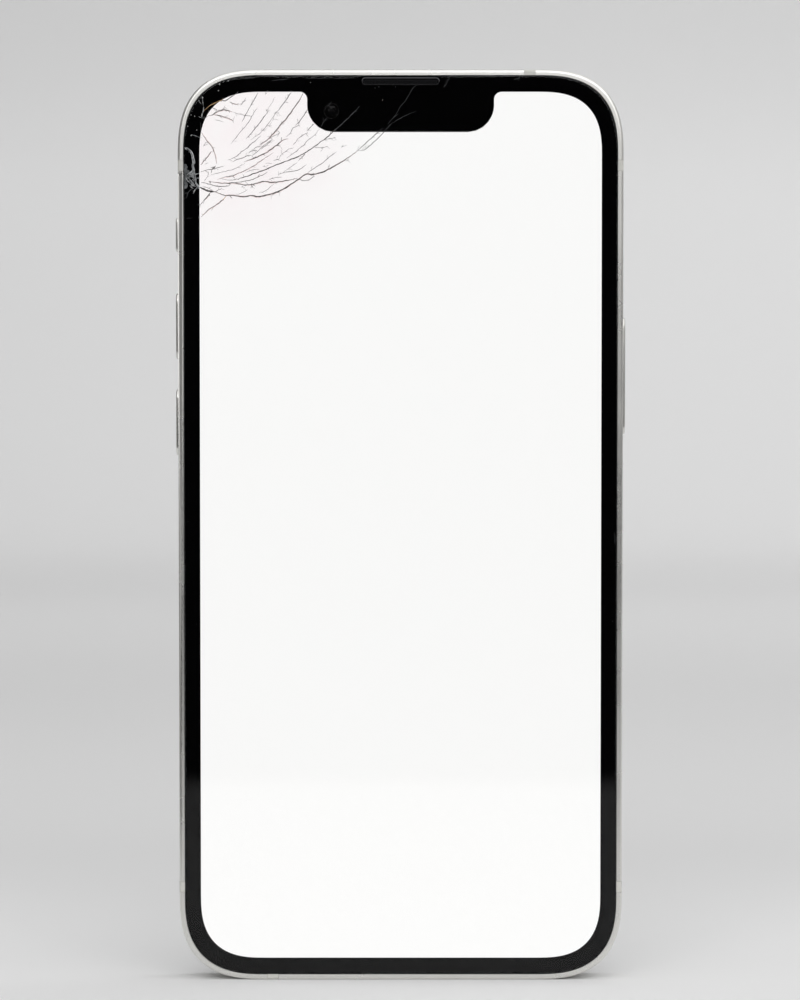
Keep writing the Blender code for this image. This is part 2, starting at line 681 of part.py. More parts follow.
def make_display_flex(skin):
    """The screen's ribbon cable, folded once between the back plate and the board."""
    half = FIT / 2
    front = PLATE_BACK + FIT + half
    back = BOARD_FRONT - FIT - half
    radius = (back - front) / 2
    bend = BOARD_BOTTOM
    end = SIM_Z
    middle = (y_at(front + radius), bend)
    path = [(y_at(front), end)]
    for step in range(9):
        angle = math.pi + math.pi * step / 8
        path.append((middle[0] + radius * math.cos(angle), middle[1] + radius * math.sin(angle)))
    path.append((y_at(back), end))
    outline, inner = [], []
    for index, (y, z) in enumerate(path):
        (y0, z0), (y1, z1) = path[max(index - 1, 0)], path[min(index + 1, len(path) - 1)]
        side = Vector((z1 - z0, y0 - y1)).normalized() * half
        outline.append((y + side.x, z + side.y))
        inner.append((y - side.x, z - side.y))
    right = BOARD_RIGHT - 4 * GAP
    return extrusion("display_flex", outline + inner[::-1], "X", right - FLEX_WIDTH, right, skin)


def make_front_sensors(steel, black, lens_black):
    """Earpiece and sensors on their bracket, behind the notch."""
    z = BODY_HEIGHT - SENSOR_DROP
    bracket_back = INNER_BACK
    bracket_front = bracket_back - BRACKET_THICKNESS
    seat = bracket_front - 2 * FIT
    half_height = NOTCH_DEPTH / 2
    low, high = z - half_height - GAP, z + half_height
    half = NOTCH_WIDTH / 2 - GAP
    outline = rounded_outline((0, (low + high) / 2), 2 * half, high - low, SHEET_CORNER)
    extrusion("sensor_bracket", outline, "Y", y_at(bracket_front), y_at(bracket_back), steel)
    for name, x, barrel, body in (
        ("front_camera", FRONT_CAMERA_X, FRONT_CAMERA_BARREL, FRONT_CAMERA_BODY),
        ("infrared_camera", INFRARED_X, INFRARED_BARREL, INFRARED_BODY),
    ):
        shoulder = y_at(PLATE_BACK + 2 * GAP)
        profile = [(0, y_at(GLASS_BACK + GAP)), (barrel, y_at(GLASS_BACK + GAP)), (barrel, shoulder)]
        profile += [(body, shoulder), (body, y_at(seat)), (0, y_at(seat))]
        turned(name, "Y", (x, 0, z), profile, 20, lens_black)
    side = PROJECTOR_SIZE / 2
    low = (PROJECTOR_X - side, PLATE_BACK + GAP, z - side)
    block("dot_projector", low, (PROJECTOR_X + side, seat, z + side), black)
    half = INFRARED_X - INFRARED_BODY - 2 * GAP
    front = FRAME_BACK + GAP
    speaker = rounded_outline((0, z), 2 * half, 2 * half_height - 4 * GAP, SHEET_CORNER)
    extrusion("earpiece_speaker", speaker, "Y", y_at(front), y_at(seat), black)
    mesh_z = BODY_HEIGHT - GLASS_INSET - EARPIECE_HEIGHT / 2
    size = (EARPIECE_WIDTH - 4 * FIT, EARPIECE_HEIGHT - 4 * FIT)
    mesh = rounded_outline((0, mesh_z), *size, size[1] / 2 - FIT, 4)
    mesh_front = GLASS_BACK - 2 * FIT - MESH_THICKNESS
    extrusion("earpiece_mesh", mesh, "Y", y_at(mesh_front), y_at(mesh_front + MESH_THICKNESS), steel)


# Rear glass and cameras

def make_rear_glass(skin):
    """The back: a glass sheet with the camera plateau milled on it."""
    rings = [(GLASS_INSET, REAR_FRONT)]
    rings += [(GLASS_INSET + inset, REAR_BACK - back) for inset, back in reversed(edge_round(GLASS_EDGE))]
    glass = loft("rear_glass", sections(rings), skin)
    height = CAMERA_PITCH + 2 * PLATEAU_MARGIN
    middle = (CAMERA_X, (UPPER_LENS_Z + LOWER_LENS_Z) / 2)
    shapes = [(0, REAR_BACK - REAR_THICKNESS / 2)]
    shapes += [(inset, PLATEAU_BACK - back) for inset, back in reversed(edge_round(EDGE_ROUND, 3))]
    rings = []
    for inset, depth in shapes:
        size = (PLATEAU_WIDTH - 2 * inset, height - 2 * inset, PLATEAU_CORNER - inset)
        rings.append(placed(rounded_outline(middle, *size, 7), "Y", y_at(depth)))
    combine(glass, "UNION", [loft("camera_plateau", rings)])
    ends = (y_at(REAR_FRONT - GAP), y_at(PLATEAU_BACK + GAP))
    for name, x, z, radius, steps in (
        ("upper_ring_hole", CAMERA_X, UPPER_LENS_Z, RING_RADIUS - GAP, 24),
        ("lower_ring_hole", CAMERA_X, LOWER_LENS_Z, RING_RADIUS - GAP, 24),
        ("flash_hole", FLASH_X, UPPER_LENS_Z, FLASH_RADIUS + FIT, 18),
        ("rear_sound_hole", FLASH_X, MICROPHONE_Z, MICROPHONE_HOLE, 10),
    ):
        cut(glass, extrusion(name, circle((x, z), radius, steps), "Y", *ends))
    return glass


def make_rear_camera(label, z, steel, black, lens_glass, alloy):
    """One camera: module with a bored collar, its lens barrel, and the ring and cover over it."""
    half = CAMERA_SIZE / 2
    front = INNER_FRONT + BRACKET_THICKNESS + GAP
    low = (CAMERA_X - half, front, z - half)
    body = block(label + "_body", low, (CAMERA_X + half, INNER_BACK, z + half), black)
    middle = (CAMERA_X, z)
    collar_back = REAR_FRONT + FIT
    collar = circle(middle, LENS_RADIUS + 3 * GAP, 20)
    ends = (y_at(INNER_BACK - GAP), y_at(collar_back))
    combine(body, "UNION", [extrusion(label + "_collar", collar, "Y", *ends)])
    floor = front + (INNER_BACK - front) / 2
    bore = circle(middle, LENS_RADIUS + GAP, 20)
    cut(body, extrusion(label + "_bore", bore, "Y", y_at(floor), y_at(collar_back + GAP)))
    lens_back = PLATEAU_BACK - FOCUS_TRAVEL - GAP
    barrel = [(0, floor + GAP), (LENS_RADIUS, floor + GAP), (LENS_RADIUS, lens_back - GAP)]
    barrel += [(LENS_RADIUS - GAP, lens_back), (0.6 * LENS_RADIUS, lens_back), (0, lens_back - GAP)]
    points = [(radius, y_at(depth)) for radius, depth in barrel]
    moving(turned(label + "_lens", "Y", (CAMERA_X, 0, z), points, 20, black), CAMERA_X, floor + GAP, z)
    bore_radius = LENS_RADIUS + 3 * GAP
    seat = RING_RADIUS - 4 * GAP
    step = PLATEAU_BACK + GAP
    ring_back = PLATEAU_BACK + RING_HEIGHT
    ring = [(bore_radius, PLATEAU_BACK - 4 * GAP), (RING_RADIUS - GAP - FIT, PLATEAU_BACK - 4 * GAP)]
    ring += [(RING_RADIUS - GAP - FIT, PLATEAU_BACK + FIT), (RING_RADIUS, PLATEAU_BACK + FIT)]
    ring += [(RING_RADIUS, ring_back - 2 * FIT), (RING_RADIUS - 2 * FIT, ring_back), (seat, ring_back)]
    ring += [(seat, step), (bore_radius, step)]
    points = [(radius, y_at(depth)) for radius, depth in ring]
    turned(label + "_ring", "Y", (CAMERA_X, 0, z), points, 24, alloy, closed=True)
    cover = circle(middle, seat - FIT, 24)
    extrusion(label + "_cover", cover, "Y", y_at(step + FIT), y_at(ring_back - FIT), lens_glass)


def make_rear_details(steel, lamp, lens_glass):
    """Flash, rear microphone and the plate that holds the two cameras."""
    window = circle((FLASH_X, UPPER_LENS_Z), FLASH_RADIUS, 18)
    extrusion("flash_window", window, "Y", y_at(REAR_FRONT), y_at(REAR_BACK), lens_glass)
    half = FLASH_RADIUS / 2
    low = (FLASH_X - half, FLOOR_FRONT, UPPER_LENS_Z - half)
    block("flash_led", low, (FLASH_X + half, FLOOR_BACK, UPPER_LENS_Z + half), lamp)
    half = 3 * MICROPHONE_HOLE
    low = (FLASH_X - half, BOARD_BACK + FIT, MICROPHONE_Z - half)
    block("rear_microphone", low, (FLASH_X + half, FLOOR_FRONT - FIT, MICROPHONE_Z + half), steel)
    half = CAMERA_SIZE / 2 + 2 * GAP
    middle = (CAMERA_X, (UPPER_LENS_Z + LOWER_LENS_Z) / 2)
    outline = rounded_outline(middle, 2 * half, CAMERA_PITCH + 2 * half, SHEET_CORNER)
    extrusion("camera_bracket", outline, "Y", y_at(INNER_FRONT), y_at(INNER_FRONT + BRACKET_THICKNESS), steel)


# Board, battery and charging coil

def make_board(skin, steel):
    """The L-shaped board: a column beside the battery and an arm above it, with shields and screws."""
    arm_inset = BOARD_SCREW_INSET / 2
    corners = [(BOARD_LEFT, BOARD_BOTTOM, arm_inset), (BOARD_RIGHT, BOARD_BOTTOM, arm_inset)]
    corners += [(BOARD_RIGHT, ARM_BOTTOM, GAP), (ARM_RIGHT, ARM_BOTTOM, arm_inset)]
    corners += [(ARM_RIGHT, BOARD_TOP, arm_inset), (BOARD_LEFT, BOARD_TOP, arm_inset)]
    board = extrusion("logic_board", filleted(corners), "Y", y_at(BOARD_FRONT), y_at(BOARD_BACK), skin)
    for name, (x, z) in board_screw_places().items():
        hole = circle((x, z), SCREW_SHANK + FIT, 10)
        ends = (y_at(BOARD_FRONT - GAP), y_at(BOARD_BACK + GAP))
        cut(board, extrusion("board_hole_" + name, hole, "Y", *ends))
        head = y_at(BOARD_FRONT - FIT)
        head_top = head - SCREW_HEAD_LENGTH
        tip = y_at(FLOOR_FRONT - FIT)
        profile = [(0, head_top), (2 * SCREW_SHANK, head_top), (2 * SCREW_SHANK, head)]
        profile += [(SCREW_SHANK, head), (SCREW_SHANK, tip), (0, tip)]
        turned("board_screw_" + name, "Y", (x, 0, z), profile, 12, steel)
    back = BOARD_FRONT - FIT
    front = back - SHIELD_HEIGHT
    clear = 2 * BOARD_SCREW_INSET
    reader_top = SIM_Z + SIM_TRAY_LENGTH / 2 + 4 * GAP
    column = [(BOARD_LEFT + GAP, reader_top), (BOARD_RIGHT - GAP, BOARD_TOP - clear)]
    arm = [(BOARD_RIGHT + GAP, ARM_BOTTOM + GAP), (ARM_RIGHT - GAP, BOARD_TOP - clear)]
    for name, (low, high) in (("processor_shield", column), ("radio_shield", arm)):
        middle = ((low[0] + high[0]) / 2, (low[1] + high[1]) / 2)
        outline = rounded_outline(middle, high[0] - low[0], high[1] - low[1], SHEET_CORNER)
        extrusion(name, outline, "Y", y_at(front), y_at(back), steel)


def make_battery(skin):
    """The battery fills the room between the board, the lower end and the cameras."""
    left, right = BOARD_RIGHT + 2 * GAP, CAVITY_SIDE - SIDE_ROOM
    low, high = DOCK_TOP + 2 * GAP, BATTERY_TOP
    middle = ((left + right) / 2, (low + high) / 2)
    rings = []
    for inset, back in edge_round(BATTERY_EDGE):
        size = (right - left - 2 * inset, high - low - 2 * inset)
        rings.append((rounded_outline(middle, *size, BATTERY_CORNER - inset), back))
    front = [placed(outline, "Y", y_at(INNER_FRONT + back)) for outline, back in rings]
    rear = [placed(outline, "Y", y_at(INNER_BACK - back)) for outline, back in reversed(rings)]
    return loft("battery", front + rear, skin)


def make_charging(copper, magnet):
    """The charging coil, and the ring of magnets round it with a gap for the coil's leads."""
    front = FLOOR_BACK - COIL_THICKNESS
    pitch = (COIL_RADIUS - COIL_HOLE) / COIL_RIDGES
    profile = [(COIL_RADIUS, FLOOR_BACK), (COIL_HOLE, FLOOR_BACK)]
    for ridge in range(COIL_RIDGES):
        start = COIL_HOLE + pitch * ridge
        profile += [(start, front + FIT), (start + pitch / 2, front)]
    profile.append((COIL_RADIUS, front + FIT))
    points = [(radius, y_at(depth)) for radius, depth in profile]
    turned("charging_coil", "Y", (0, 0, MIDDLE_Z), points, 32, copper, closed=True)
    lead_gap = math.radians(12)
    steps = 36
    angles = [-math.pi / 2 + lead_gap + (math.tau - 2 * lead_gap) * step / steps for step in range(steps + 1)]
    outline = [(MAGNET_OUTER * math.cos(a), MIDDLE_Z + MAGNET_OUTER * math.sin(a)) for a in angles]
    outline += [(MAGNET_INNER * math.cos(a), MIDDLE_Z + MAGNET_INNER * math.sin(a)) for a in reversed(angles)]
    extrusion("magnet_ring", outline, "Y", y_at(front), y_at(FLOOR_BACK), magnet)


# Buttons, switches and SIM tray

def side_button(name, side, z, length, width, depth, skin):
    """A button through the band: a long head, and a flange inside that keeps it in."""
    def section(x, grow):
        size = (width + 2 * grow, length + 2 * grow)
        outline = rounded_outline((y_at(depth), z), *size, width / 2 - FIT + grow)
        return placed(outline, "X", side * x)

    outside = HALF_WIDTH + BUTTON_PROUD
    shoulder = CAVITY_SIDE - FIT
    rings = [section(outside, -2 * FIT), section(outside - 2 * FIT, 0), section(shoulder, 0)]
    rings += [section(shoulder, FLANGE_WIDTH), section(shoulder - FLANGE_THICKNESS, FLANGE_WIDTH)]
    return moving(loft(name, rings, skin), side * HALF_WIDTH, depth, z)


def side_switch(name, side, z, length, skin):
    """The switch that a button or slider works, on the board's side of it."""
    outer = CAVITY_SIDE - FIT - FLANGE_THICKNESS - BUTTON_TRAVEL - FIT
    inner = CAVITY_SIDE - SIDE_ROOM + GAP
    edges = sorted((side * outer, side * inner))
    half = BUTTON_WIDTH / 2
    low = (edges[0], BAND_MIDDLE - half, z - length / 2)
    return block(name, low, (edges[1], BAND_MIDDLE + half, z + length / 2), skin)


def make_buttons(alloy, black):
    """The power button on the right, the volume buttons and the silent slider on the left."""
    for name, side, drop, length in BUTTONS:
        z = BODY_HEIGHT - drop
        side_button(name + "_button", side, z, length, BUTTON_WIDTH, BAND_MIDDLE, alloy)
        side_switch(name + "_switch", side, z, length / 2, black)
    z = BODY_HEIGHT - SILENT_FROM_TOP
    depth = BAND_MIDDLE - SILENT_TRAVEL / 2
    side_button("silent_slider", -1, z, SILENT_LENGTH, SILENT_WIDTH, depth, alloy)
    side_switch("silent_switch", -1, z, SILENT_LENGTH, black)


def make_sim(alloy, steel):
    """The SIM tray with its card window, and the reader on the board that it slides into."""
    depth = y_at(BAND_MIDDLE)
    outside = -HALF_WIDTH
    head = rounded_outline((depth, SIM_Z), SIM_HEAD_WIDTH, SIM_HEAD_LENGTH, SIM_HEAD_WIDTH / 2 - FIT)
    head_back = outside + CAVITY_INSET - 2 * GAP
    tray = extrusion("sim_tray", head, "X", outside, head_back, alloy)
    half = SIM_TRAY_THICKNESS / 2
    low = (head_back - GAP, BAND_MIDDLE - half, SIM_Z - SIM_TRAY_LENGTH / 2)
    inner_end = head_back + SIM_TRAY_DEPTH
    high = (inner_end, BAND_MIDDLE + half, SIM_Z + SIM_TRAY_LENGTH / 2)
    combine(tray, "UNION", [block("sim_blade", low, high)])
    margin = (SIM_TRAY_LENGTH - SIM_CARD_LENGTH) / 2
    window_right = inner_end - margin
    low = (window_right - SIM_CARD_DEPTH, BAND_MIDDLE - 2 * half, SIM_Z - SIM_CARD_LENGTH / 2)
    cut(tray, block("card_window", low, (window_right, BAND_MIDDLE + 2 * half, SIM_Z + SIM_CARD_LENGTH / 2)))
    pin = circle((depth, SIM_Z - SIM_HEAD_LENGTH / 2 + SIM_HEAD_WIDTH), HOLE_RADIUS / 2 + FIT, 8)
    cut(tray, extrusion("pin_hole", pin, "X", outside - GAP, outside + CAVITY_INSET / 2))
    moving(tray, outside, BAND_MIDDLE, SIM_Z)
    clear = 2 * FIT
    wall = READER_WALL
    left = -CAVITY_SIDE + GAP
    right = inner_end + GAP + wall
    half_depth, half_length = half + clear, SIM_TRAY_LENGTH / 2 + clear
    low = (left, BAND_MIDDLE - half_depth - wall, SIM_Z - half_length - wall)
    high = (right, BAND_MIDDLE + half_depth + wall, SIM_Z + half_length + wall)
    reader = block("sim_reader", low, high, steel)
    low = (left - GAP, BAND_MIDDLE - half_depth, SIM_Z - half_length)
    cut(reader, block("reader_slot", low, (right - wall, BAND_MIDDLE + half_depth, SIM_Z + half_length)))


# Lower end

def make_end_screw(name, x, steel):
    """A screw up through the lower end into the screen's frame."""
    profile = [(0, FIT), (SCREW_HEAD, FIT), (SCREW_HEAD, FIT + SCREW_HEAD_LENGTH)]
    profile += [(SCREW_SHANK, FIT + SCREW_HEAD_LENGTH), (SCREW_SHANK, SCREW_LENGTH), (0, SCREW_LENGTH)]
    turned(name, "Z", (x, y_at(BAND_MIDDLE), 0), profile, 14, steel)


def make_port(steel, black):
    """The charging port's shell and tongue behind its opening, and the small board that carries it."""
    middle = (0, y_at(BAND_MIDDLE))
    mouth = CAVITY_BOTTOM + FIT
    end = mouth + PORT_DEPTH
    outer = (PORT_WIDTH + 2 * PORT_WALL, PORT_HEIGHT + 2 * PORT_WALL)
    shell = rounded_outline(middle, *outer, outer[1] / 2 - FIT, 4)
    port = extrusion("charging_port", shell, "Z", mouth, end, steel)
    bore = rounded_outline(middle, PORT_WIDTH, PORT_HEIGHT, PORT_HEIGHT / 2 - FIT, 4)
    cut(port, extrusion("port_bore", bore, "Z", mouth - GAP, end - PORT_WALL))
    half, thick = TONGUE_WIDTH / 2, TONGUE_THICKNESS / 2
    low = (-half, BAND_MIDDLE - thick, mouth + 2 * GAP)
    combine(port, "UNION", [block("port_tongue", low, (half, BAND_MIDDLE + thick, end - PORT_WALL / 2))])
    board_half = SCREW_X
    low = (-board_half, INNER_BACK - BOARD_THICKNESS, end + GAP)
    block("dock_board", low, (board_half, INNER_BACK, DOCK_TOP), black)


def make_loudspeaker(skin):
    """The loudspeaker box, which follows the lower left corner."""
    left, right = -CAVITY_SIDE + SIDE_ROOM, -SPEAKER_INNER_X
    low = CAVITY_BOTTOM + 4 * GAP
    curve = BODY_CORNER - CAVITY_INSET - SIDE_ROOM / 2
    corners = [(left, low, curve), (right, low, SHEET_CORNER)]
    corners += [(right, DOCK_TOP, SHEET_CORNER), (left, DOCK_TOP, SHEET_CORNER)]
    speaker = extrusion("loudspeaker", filleted(corners, 5), "Y", y_at(INNER_FRONT), y_at(INNER_BACK), skin)
    middle = ((left + right) / 2, (low + DOCK_TOP) / 2)
    size = ((right - left) / 2, (DOCK_TOP - low) / 2)
    dish = rounded_outline(middle, *size, size[1] / 2 - FIT, 4)
    ends = (y_at(INNER_FRONT - GAP), y_at(INNER_FRONT + GAP))
    return cut(speaker, extrusion("speaker_dish", dish, "Y", *ends))


def make_haptic_motor(steel, heavy, black):
    """The haptic motor: an open case, the mass that shakes from side to side in it, and its lid."""
    lid = 2 * FIT
    left, right = HAPTIC_INNER_X, HAPTIC_INNER_X + HAPTIC_LENGTH
    high = DOCK_TOP
    low = high - HAPTIC_HEIGHT
    front = INNER_FRONT + lid + FIT
    case = block("haptic_case", (left, front, low), (right, INNER_BACK, high), steel)
    wall = HAPTIC_WALL
    inside = ((left + wall, front - GAP, low + wall), (right - wall, INNER_BACK - wall, high - wall))
    cut(case, block("haptic_room", *inside))
    room = wall + HAPTIC_TRAVEL + HAPTIC_SPRING_ROOM
    edge = wall + GAP
    low_corner = (left + room, front + GAP, low + edge)
    mass = block("haptic_mass", low_corner, (right - room, INNER_BACK - edge, high - edge), heavy)
    moving(mass, (left + right) / 2, (front + INNER_BACK) / 2, (low + high) / 2)
    block("haptic_lid", (left, INNER_FRONT, low), (right, INNER_FRONT + lid, high), steel)
    half = 2 * HOLE_RADIUS
    x = FIRST_HOLE_X + 2 * HOLE_PITCH
    bottom = CAVITY_BOTTOM + GAP
    low_corner = (x - 2 * half, BAND_MIDDLE - half, bottom)
    block("bottom_microphone", low_corner, (x + 2 * half, BAND_MIDDLE + half, bottom + 2 * half), black)


def clear_scene():
    for piece in list(bpy.data.objects):
        bpy.data.objects.remove(piece)


def build():
    """Makes every piece of the phone."""
    clear_scene()
    aluminium = material("satin anodised aluminium", 214, 213, 208, 1.0, 0.32)
    break_plastic = material("pale antenna plastic", 221, 220, 214, 0.0, 0.45)
    clear_glass = material("cracked cover glass", 12, 12, 14, 0.0, 0.04)
    white_glass = material("white rear glass", 240, 240, 236, 0.0, 0.08)
    lens_glass = material("lens cover glass", 16, 18, 24, 0.0, 0.03)
    lit_panel = material("lit white display panel", 248, 248, 247, 0.0, 0.3)
    steel = material("stamped steel", 168, 168, 166, 1.0, 0.35)
    copper = material("copper winding", 190, 110, 66, 1.0, 0.35)
    magnet = material("plated magnet", 120, 122, 126, 1.0, 0.3)
    tungsten = material("tungsten mass", 110, 108, 104, 1.0, 0.45)
    black_plastic = material("black moulded plastic", 24, 24, 25, 0.0, 0.5)
    foam = material("black adhesive foam", 18, 18, 18, 0.0, 0.8)
    pouch = material("black battery pouch", 34, 34, 36, 0.0, 0.6)
    circuit = material("dark circuit board", 22, 30, 38, 0.0, 0.4)
    ribbon = material("amber ribbon cable", 120, 74, 26, 0.0, 0.4)
    lamp = material("yellow flash lamp", 228, 205, 96, 0.0, 0.4)

    make_housing(aluminium)
    antenna_breaks(break_plastic)
    make_cover_glass(clear_glass)
    make_screen(black_plastic, lit_panel, steel, foam)
    make_display_flex(ribbon)
    make_front_sensors(steel, black_plastic, lens_glass)
    make_rear_glass(white_glass)
    make_rear_camera("main_camera", UPPER_LENS_Z, steel, black_plastic, lens_glass, aluminium)
    make_rear_camera("wide_camera", LOWER_LENS_Z, steel, black_plastic, lens_glass, aluminium)
    make_rear_details(steel, lamp, lens_glass)
    make_board(circuit, steel)
    make_battery(pouch)
    make_charging(copper, magnet)
    make_buttons(aluminium, black_plastic)
    make_sim(aluminium, steel)
    make_end_screw("bottom_screw_left", -SCREW_X, steel)
    make_end_screw("bottom_screw_right", SCREW_X, steel)
    make_port(steel, circuit)
    make_loudspeaker(black_plastic)
    make_haptic_motor(steel, tungsten, black_plastic)


build()
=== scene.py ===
# %% [markdown]
# # A phone with a shattered screen
#
# The object is a slim phone that stands on its lower edge. Its screen is lit plain white and its cover glass is
# broken at one upper corner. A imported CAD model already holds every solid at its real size, so this lesson never
# moves anything: it loads that model as a fixed frame and dresses it. A piece that shows is built again with
# rounder curves and finer detail in the same place, and a piece that lies hidden keeps its CAD mesh and gets a
# finish that fits what it is made of.

# %% Load the frame
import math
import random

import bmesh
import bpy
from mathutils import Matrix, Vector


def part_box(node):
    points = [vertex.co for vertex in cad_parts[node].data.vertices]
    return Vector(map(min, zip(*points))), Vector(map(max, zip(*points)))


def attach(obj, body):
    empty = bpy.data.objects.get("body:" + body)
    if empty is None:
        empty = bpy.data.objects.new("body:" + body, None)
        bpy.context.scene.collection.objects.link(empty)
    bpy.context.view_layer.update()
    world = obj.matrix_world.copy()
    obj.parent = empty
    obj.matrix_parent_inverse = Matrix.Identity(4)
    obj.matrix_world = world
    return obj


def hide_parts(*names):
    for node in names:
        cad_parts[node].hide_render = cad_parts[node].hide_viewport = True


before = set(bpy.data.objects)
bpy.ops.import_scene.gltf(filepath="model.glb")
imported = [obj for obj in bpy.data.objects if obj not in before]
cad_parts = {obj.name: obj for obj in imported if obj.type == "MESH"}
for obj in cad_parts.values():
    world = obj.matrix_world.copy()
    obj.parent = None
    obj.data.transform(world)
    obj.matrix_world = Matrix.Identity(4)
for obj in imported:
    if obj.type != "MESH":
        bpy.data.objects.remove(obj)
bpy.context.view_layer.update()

# %% [markdown]
# ## Measure what was loaded
#
# Nearly every place below is worked out from the boxes of the CAD solids, so the looks follow the model if it
# changes. X runs to the right as seen from the front, Z runs up, and a depth is measured from the front of the
# cover glass towards the back.

MM = 0.001
body_low, body_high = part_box("housing")
glass_low, glass_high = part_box("cover_glass")
HALF_WIDTH = body_high.x
HEIGHT = body_high.z
FRONT = glass_low.y
GLASS_INSET = body_high.x - glass_high.x
GLASS_THICKNESS = glass_high.y - glass_low.y


def at_depth(millimetres):
    """World Y of a depth behind the front of the cover glass."""
    return FRONT + millimetres * MM


print(f"body {2 * HALF_WIDTH / MM:.1f} x {HEIGHT / MM:.1f} mm, glass {GLASS_THICKNESS / MM:.2f} mm thick")

# %% [markdown]
# ## Outlines and lofts
#
# Almost every piece of a phone is a flat outline that is carried through its depth while it moves in or out a
# little. So two helpers do most of the work: one gives the points of an outline, and one skins a closed body over
# a row of outlines. The body's corners aren't circles. They are superellipses, which swell a bit more and meet
# the straight sides without a visible kink.

# %% Outlines
CORNER_REACH = 13.9 * MM
CORNER_POWER = 2.7
CORNER_STEPS = 32


def quarter(centre, reach, quadrant, steps, power=2.0):
    """Points round a quarter of a superellipse, anticlockwise from the start of the quadrant."""
    points = []
    for step in range(steps + 1):
        angle = math.pi / 2 * step / steps
        along = math.cos(angle) ** (2 / power) if step < steps else 0.0
        across = math.sin(angle) ** (2 / power)
        u, v = [(along, across), (-across, along), (-along, -across), (across, -along)][quadrant]
        points.append((centre[0] + reach * u, centre[1] + reach * v))
    return points


def rounded_outline(centre, width, height, corner, steps=8, power=2.0):
    """A rectangle with rounded corners, anticlockwise."""
    u, v = width / 2 - corner, height / 2 - corner
    points = []
    for quadrant, (du, dv) in enumerate([(u, v), (-u, v), (-u, -v), (u, -v)]):
        points += quarter((centre[0] + du, centre[1] + dv), corner, quadrant, steps, power)
    return points


def body_outline(inset):
    """The body's outline seen from the front, moved inwards."""
    size = (2 * (HALF_WIDTH - inset), HEIGHT - 2 * inset)
    return rounded_outline((0, HEIGHT / 2), *size, CORNER_REACH - inset, CORNER_STEPS, CORNER_POWER)


def circle(centre, radius, steps=64):
    """Points round a circle."""
    angles = [math.tau * step / steps for step in range(steps)]
    return [(centre[0] + radius * math.cos(a), centre[1] + radius * math.sin(a)) for a in angles]


print(f"the body's outline has {len(body_outline(0))} points")


# %% Lofts
def in_space(outline, axis, where):
    """An outline's points in space: in XZ for axis Y, in YZ for axis X and in XY for axis Z."""
    if axis == "X":
        return [(where, u, v) for u, v in outline]
    if axis == "Y":
        return [(u, where, v) for u, v in outline]
    return [(u, v, where) for u, v in outline]


def skin_over(shape, rings, endless=False):
    """Adds a closed body over rings of points to a bmesh."""
    loops = [[shape.verts.new(point) for point in ring] for ring in rings]
    pairs = list(zip(loops, loops[1:]))
    if endless:
        pairs.append((loops[-1], loops[0]))
    else:
        shape.faces.new(loops[0])
        shape.faces.new(loops[-1])
    for near, far in pairs:
        for index in range(len(near)):
            shape.faces.new((near[index - 1], near[index], far[index], far[index - 1]))


def stacked(axis, centre, size, corner, sections, steps=8):
    """Rings of a rounded rectangle, sized in millimetres, grown by each pair's first value and placed in metres along
    the axis by its second."""
    rings = []
    for grow, where in sections:
        width, height = ((side + 2 * grow) * MM for side in size)
        rings.append(in_space(rounded_outline(centre, width, height, (corner + grow) * MM, steps), axis, where))
    return rings


def loft(rings, endless=False):
    """A bmesh of one body over rings of points."""
    shape = bmesh.new()
    skin_over(shape, rings, endless)
    return shape


def extrusion(outline, axis, start, end):
    """A bmesh of an outline drawn along an axis."""
    return loft([in_space(outline, axis, start), in_space(outline, axis, end)])


def layers(rings):
    """The body's outline at each pair of inset and depth, both in millimetres."""
    return [in_space(body_outline(inset * MM), "Y", at_depth(depth)) for inset, depth in rings]


def edge_round(radius, steps=5):
    """Pairs of inset and setback round an edge, from its face to its side. The extra first and last pair keep
    the smooth shading of the curve off the flats beside it."""
    pairs = [(1.15 * radius, 0)]
    for step in range(steps + 1):
        angle = math.pi / 2 * step / steps
        pairs.append((radius * (1 - math.sin(angle)), radius * (1 - math.cos(angle))))
    pairs.append((0, 1.15 * radius))
    return pairs


# %% [markdown]
# ## From shape to piece
#
# A shape becomes a piece when it has a name, a finish and a body of the frame to ride on. Holes and openings are
# cut with exact Booleans, and the result is kept as a plain mesh. Smooth shading with sharp edges above an angle
# suits machined parts: a curve looks round while an edge stays an edge.

# %% Pieces and cuts
def as_object(name, shape):
    """Turns a bmesh into an object, with its faces pointing out."""
    bmesh.ops.recalc_face_normals(shape, faces=shape.faces)
    mesh = bpy.data.meshes.new(name)
    shape.to_mesh(mesh)
    shape.free()
    made = bpy.data.objects.new(name, mesh)
    bpy.context.scene.collection.objects.link(made)
    return made


def carve(target, shapes, operation="DIFFERENCE"):
    """Cuts shapes out of an object, or joins or intersects them with it, and keeps only the result."""
    cutters = [as_object("cutter", shape) for shape in shapes]
    for cutter in cutters:
        step = target.modifiers.new("carve", "BOOLEAN")
        step.operation = operation
        step.object = cutter
    graph = bpy.context.evaluated_depsgraph_get()
    mesh = bpy.data.meshes.new_from_object(target.evaluated_get(graph))
    target.modifiers.clear()
    target.data = mesh
    for cutter in cutters:
        bpy.data.objects.remove(cutter)
    return target


def dress(piece, finish, body="phone", stands_for=(), angle=32):
    """Gives a piece its finish, its shading and the body that it rides on."""
    for skin in finish if isinstance(finish, list) else [finish]:
        piece.data.materials.append(skin)
    piece.data.shade_smooth()
    piece.data.set_sharp_from_angle(angle=math.radians(angle))
    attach(piece, body)
    if stands_for:
        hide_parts(*stands_for)
    print(f"{piece.name}: {len(piece.data.vertices)} points on {body}")
    return piece


# %% [markdown]
# ## Colour and nodes
#
# Colours are written as the sRGB hex values that one reads off a screen, and one function turns them into the
# linear light that the renderer counts in. One more function adds a shader node with its settings and links. Most
# materials here need the same few things, a texture that varies the colour, the roughness or the relief, so one
# recipe makes them and each material below states only what is its own.

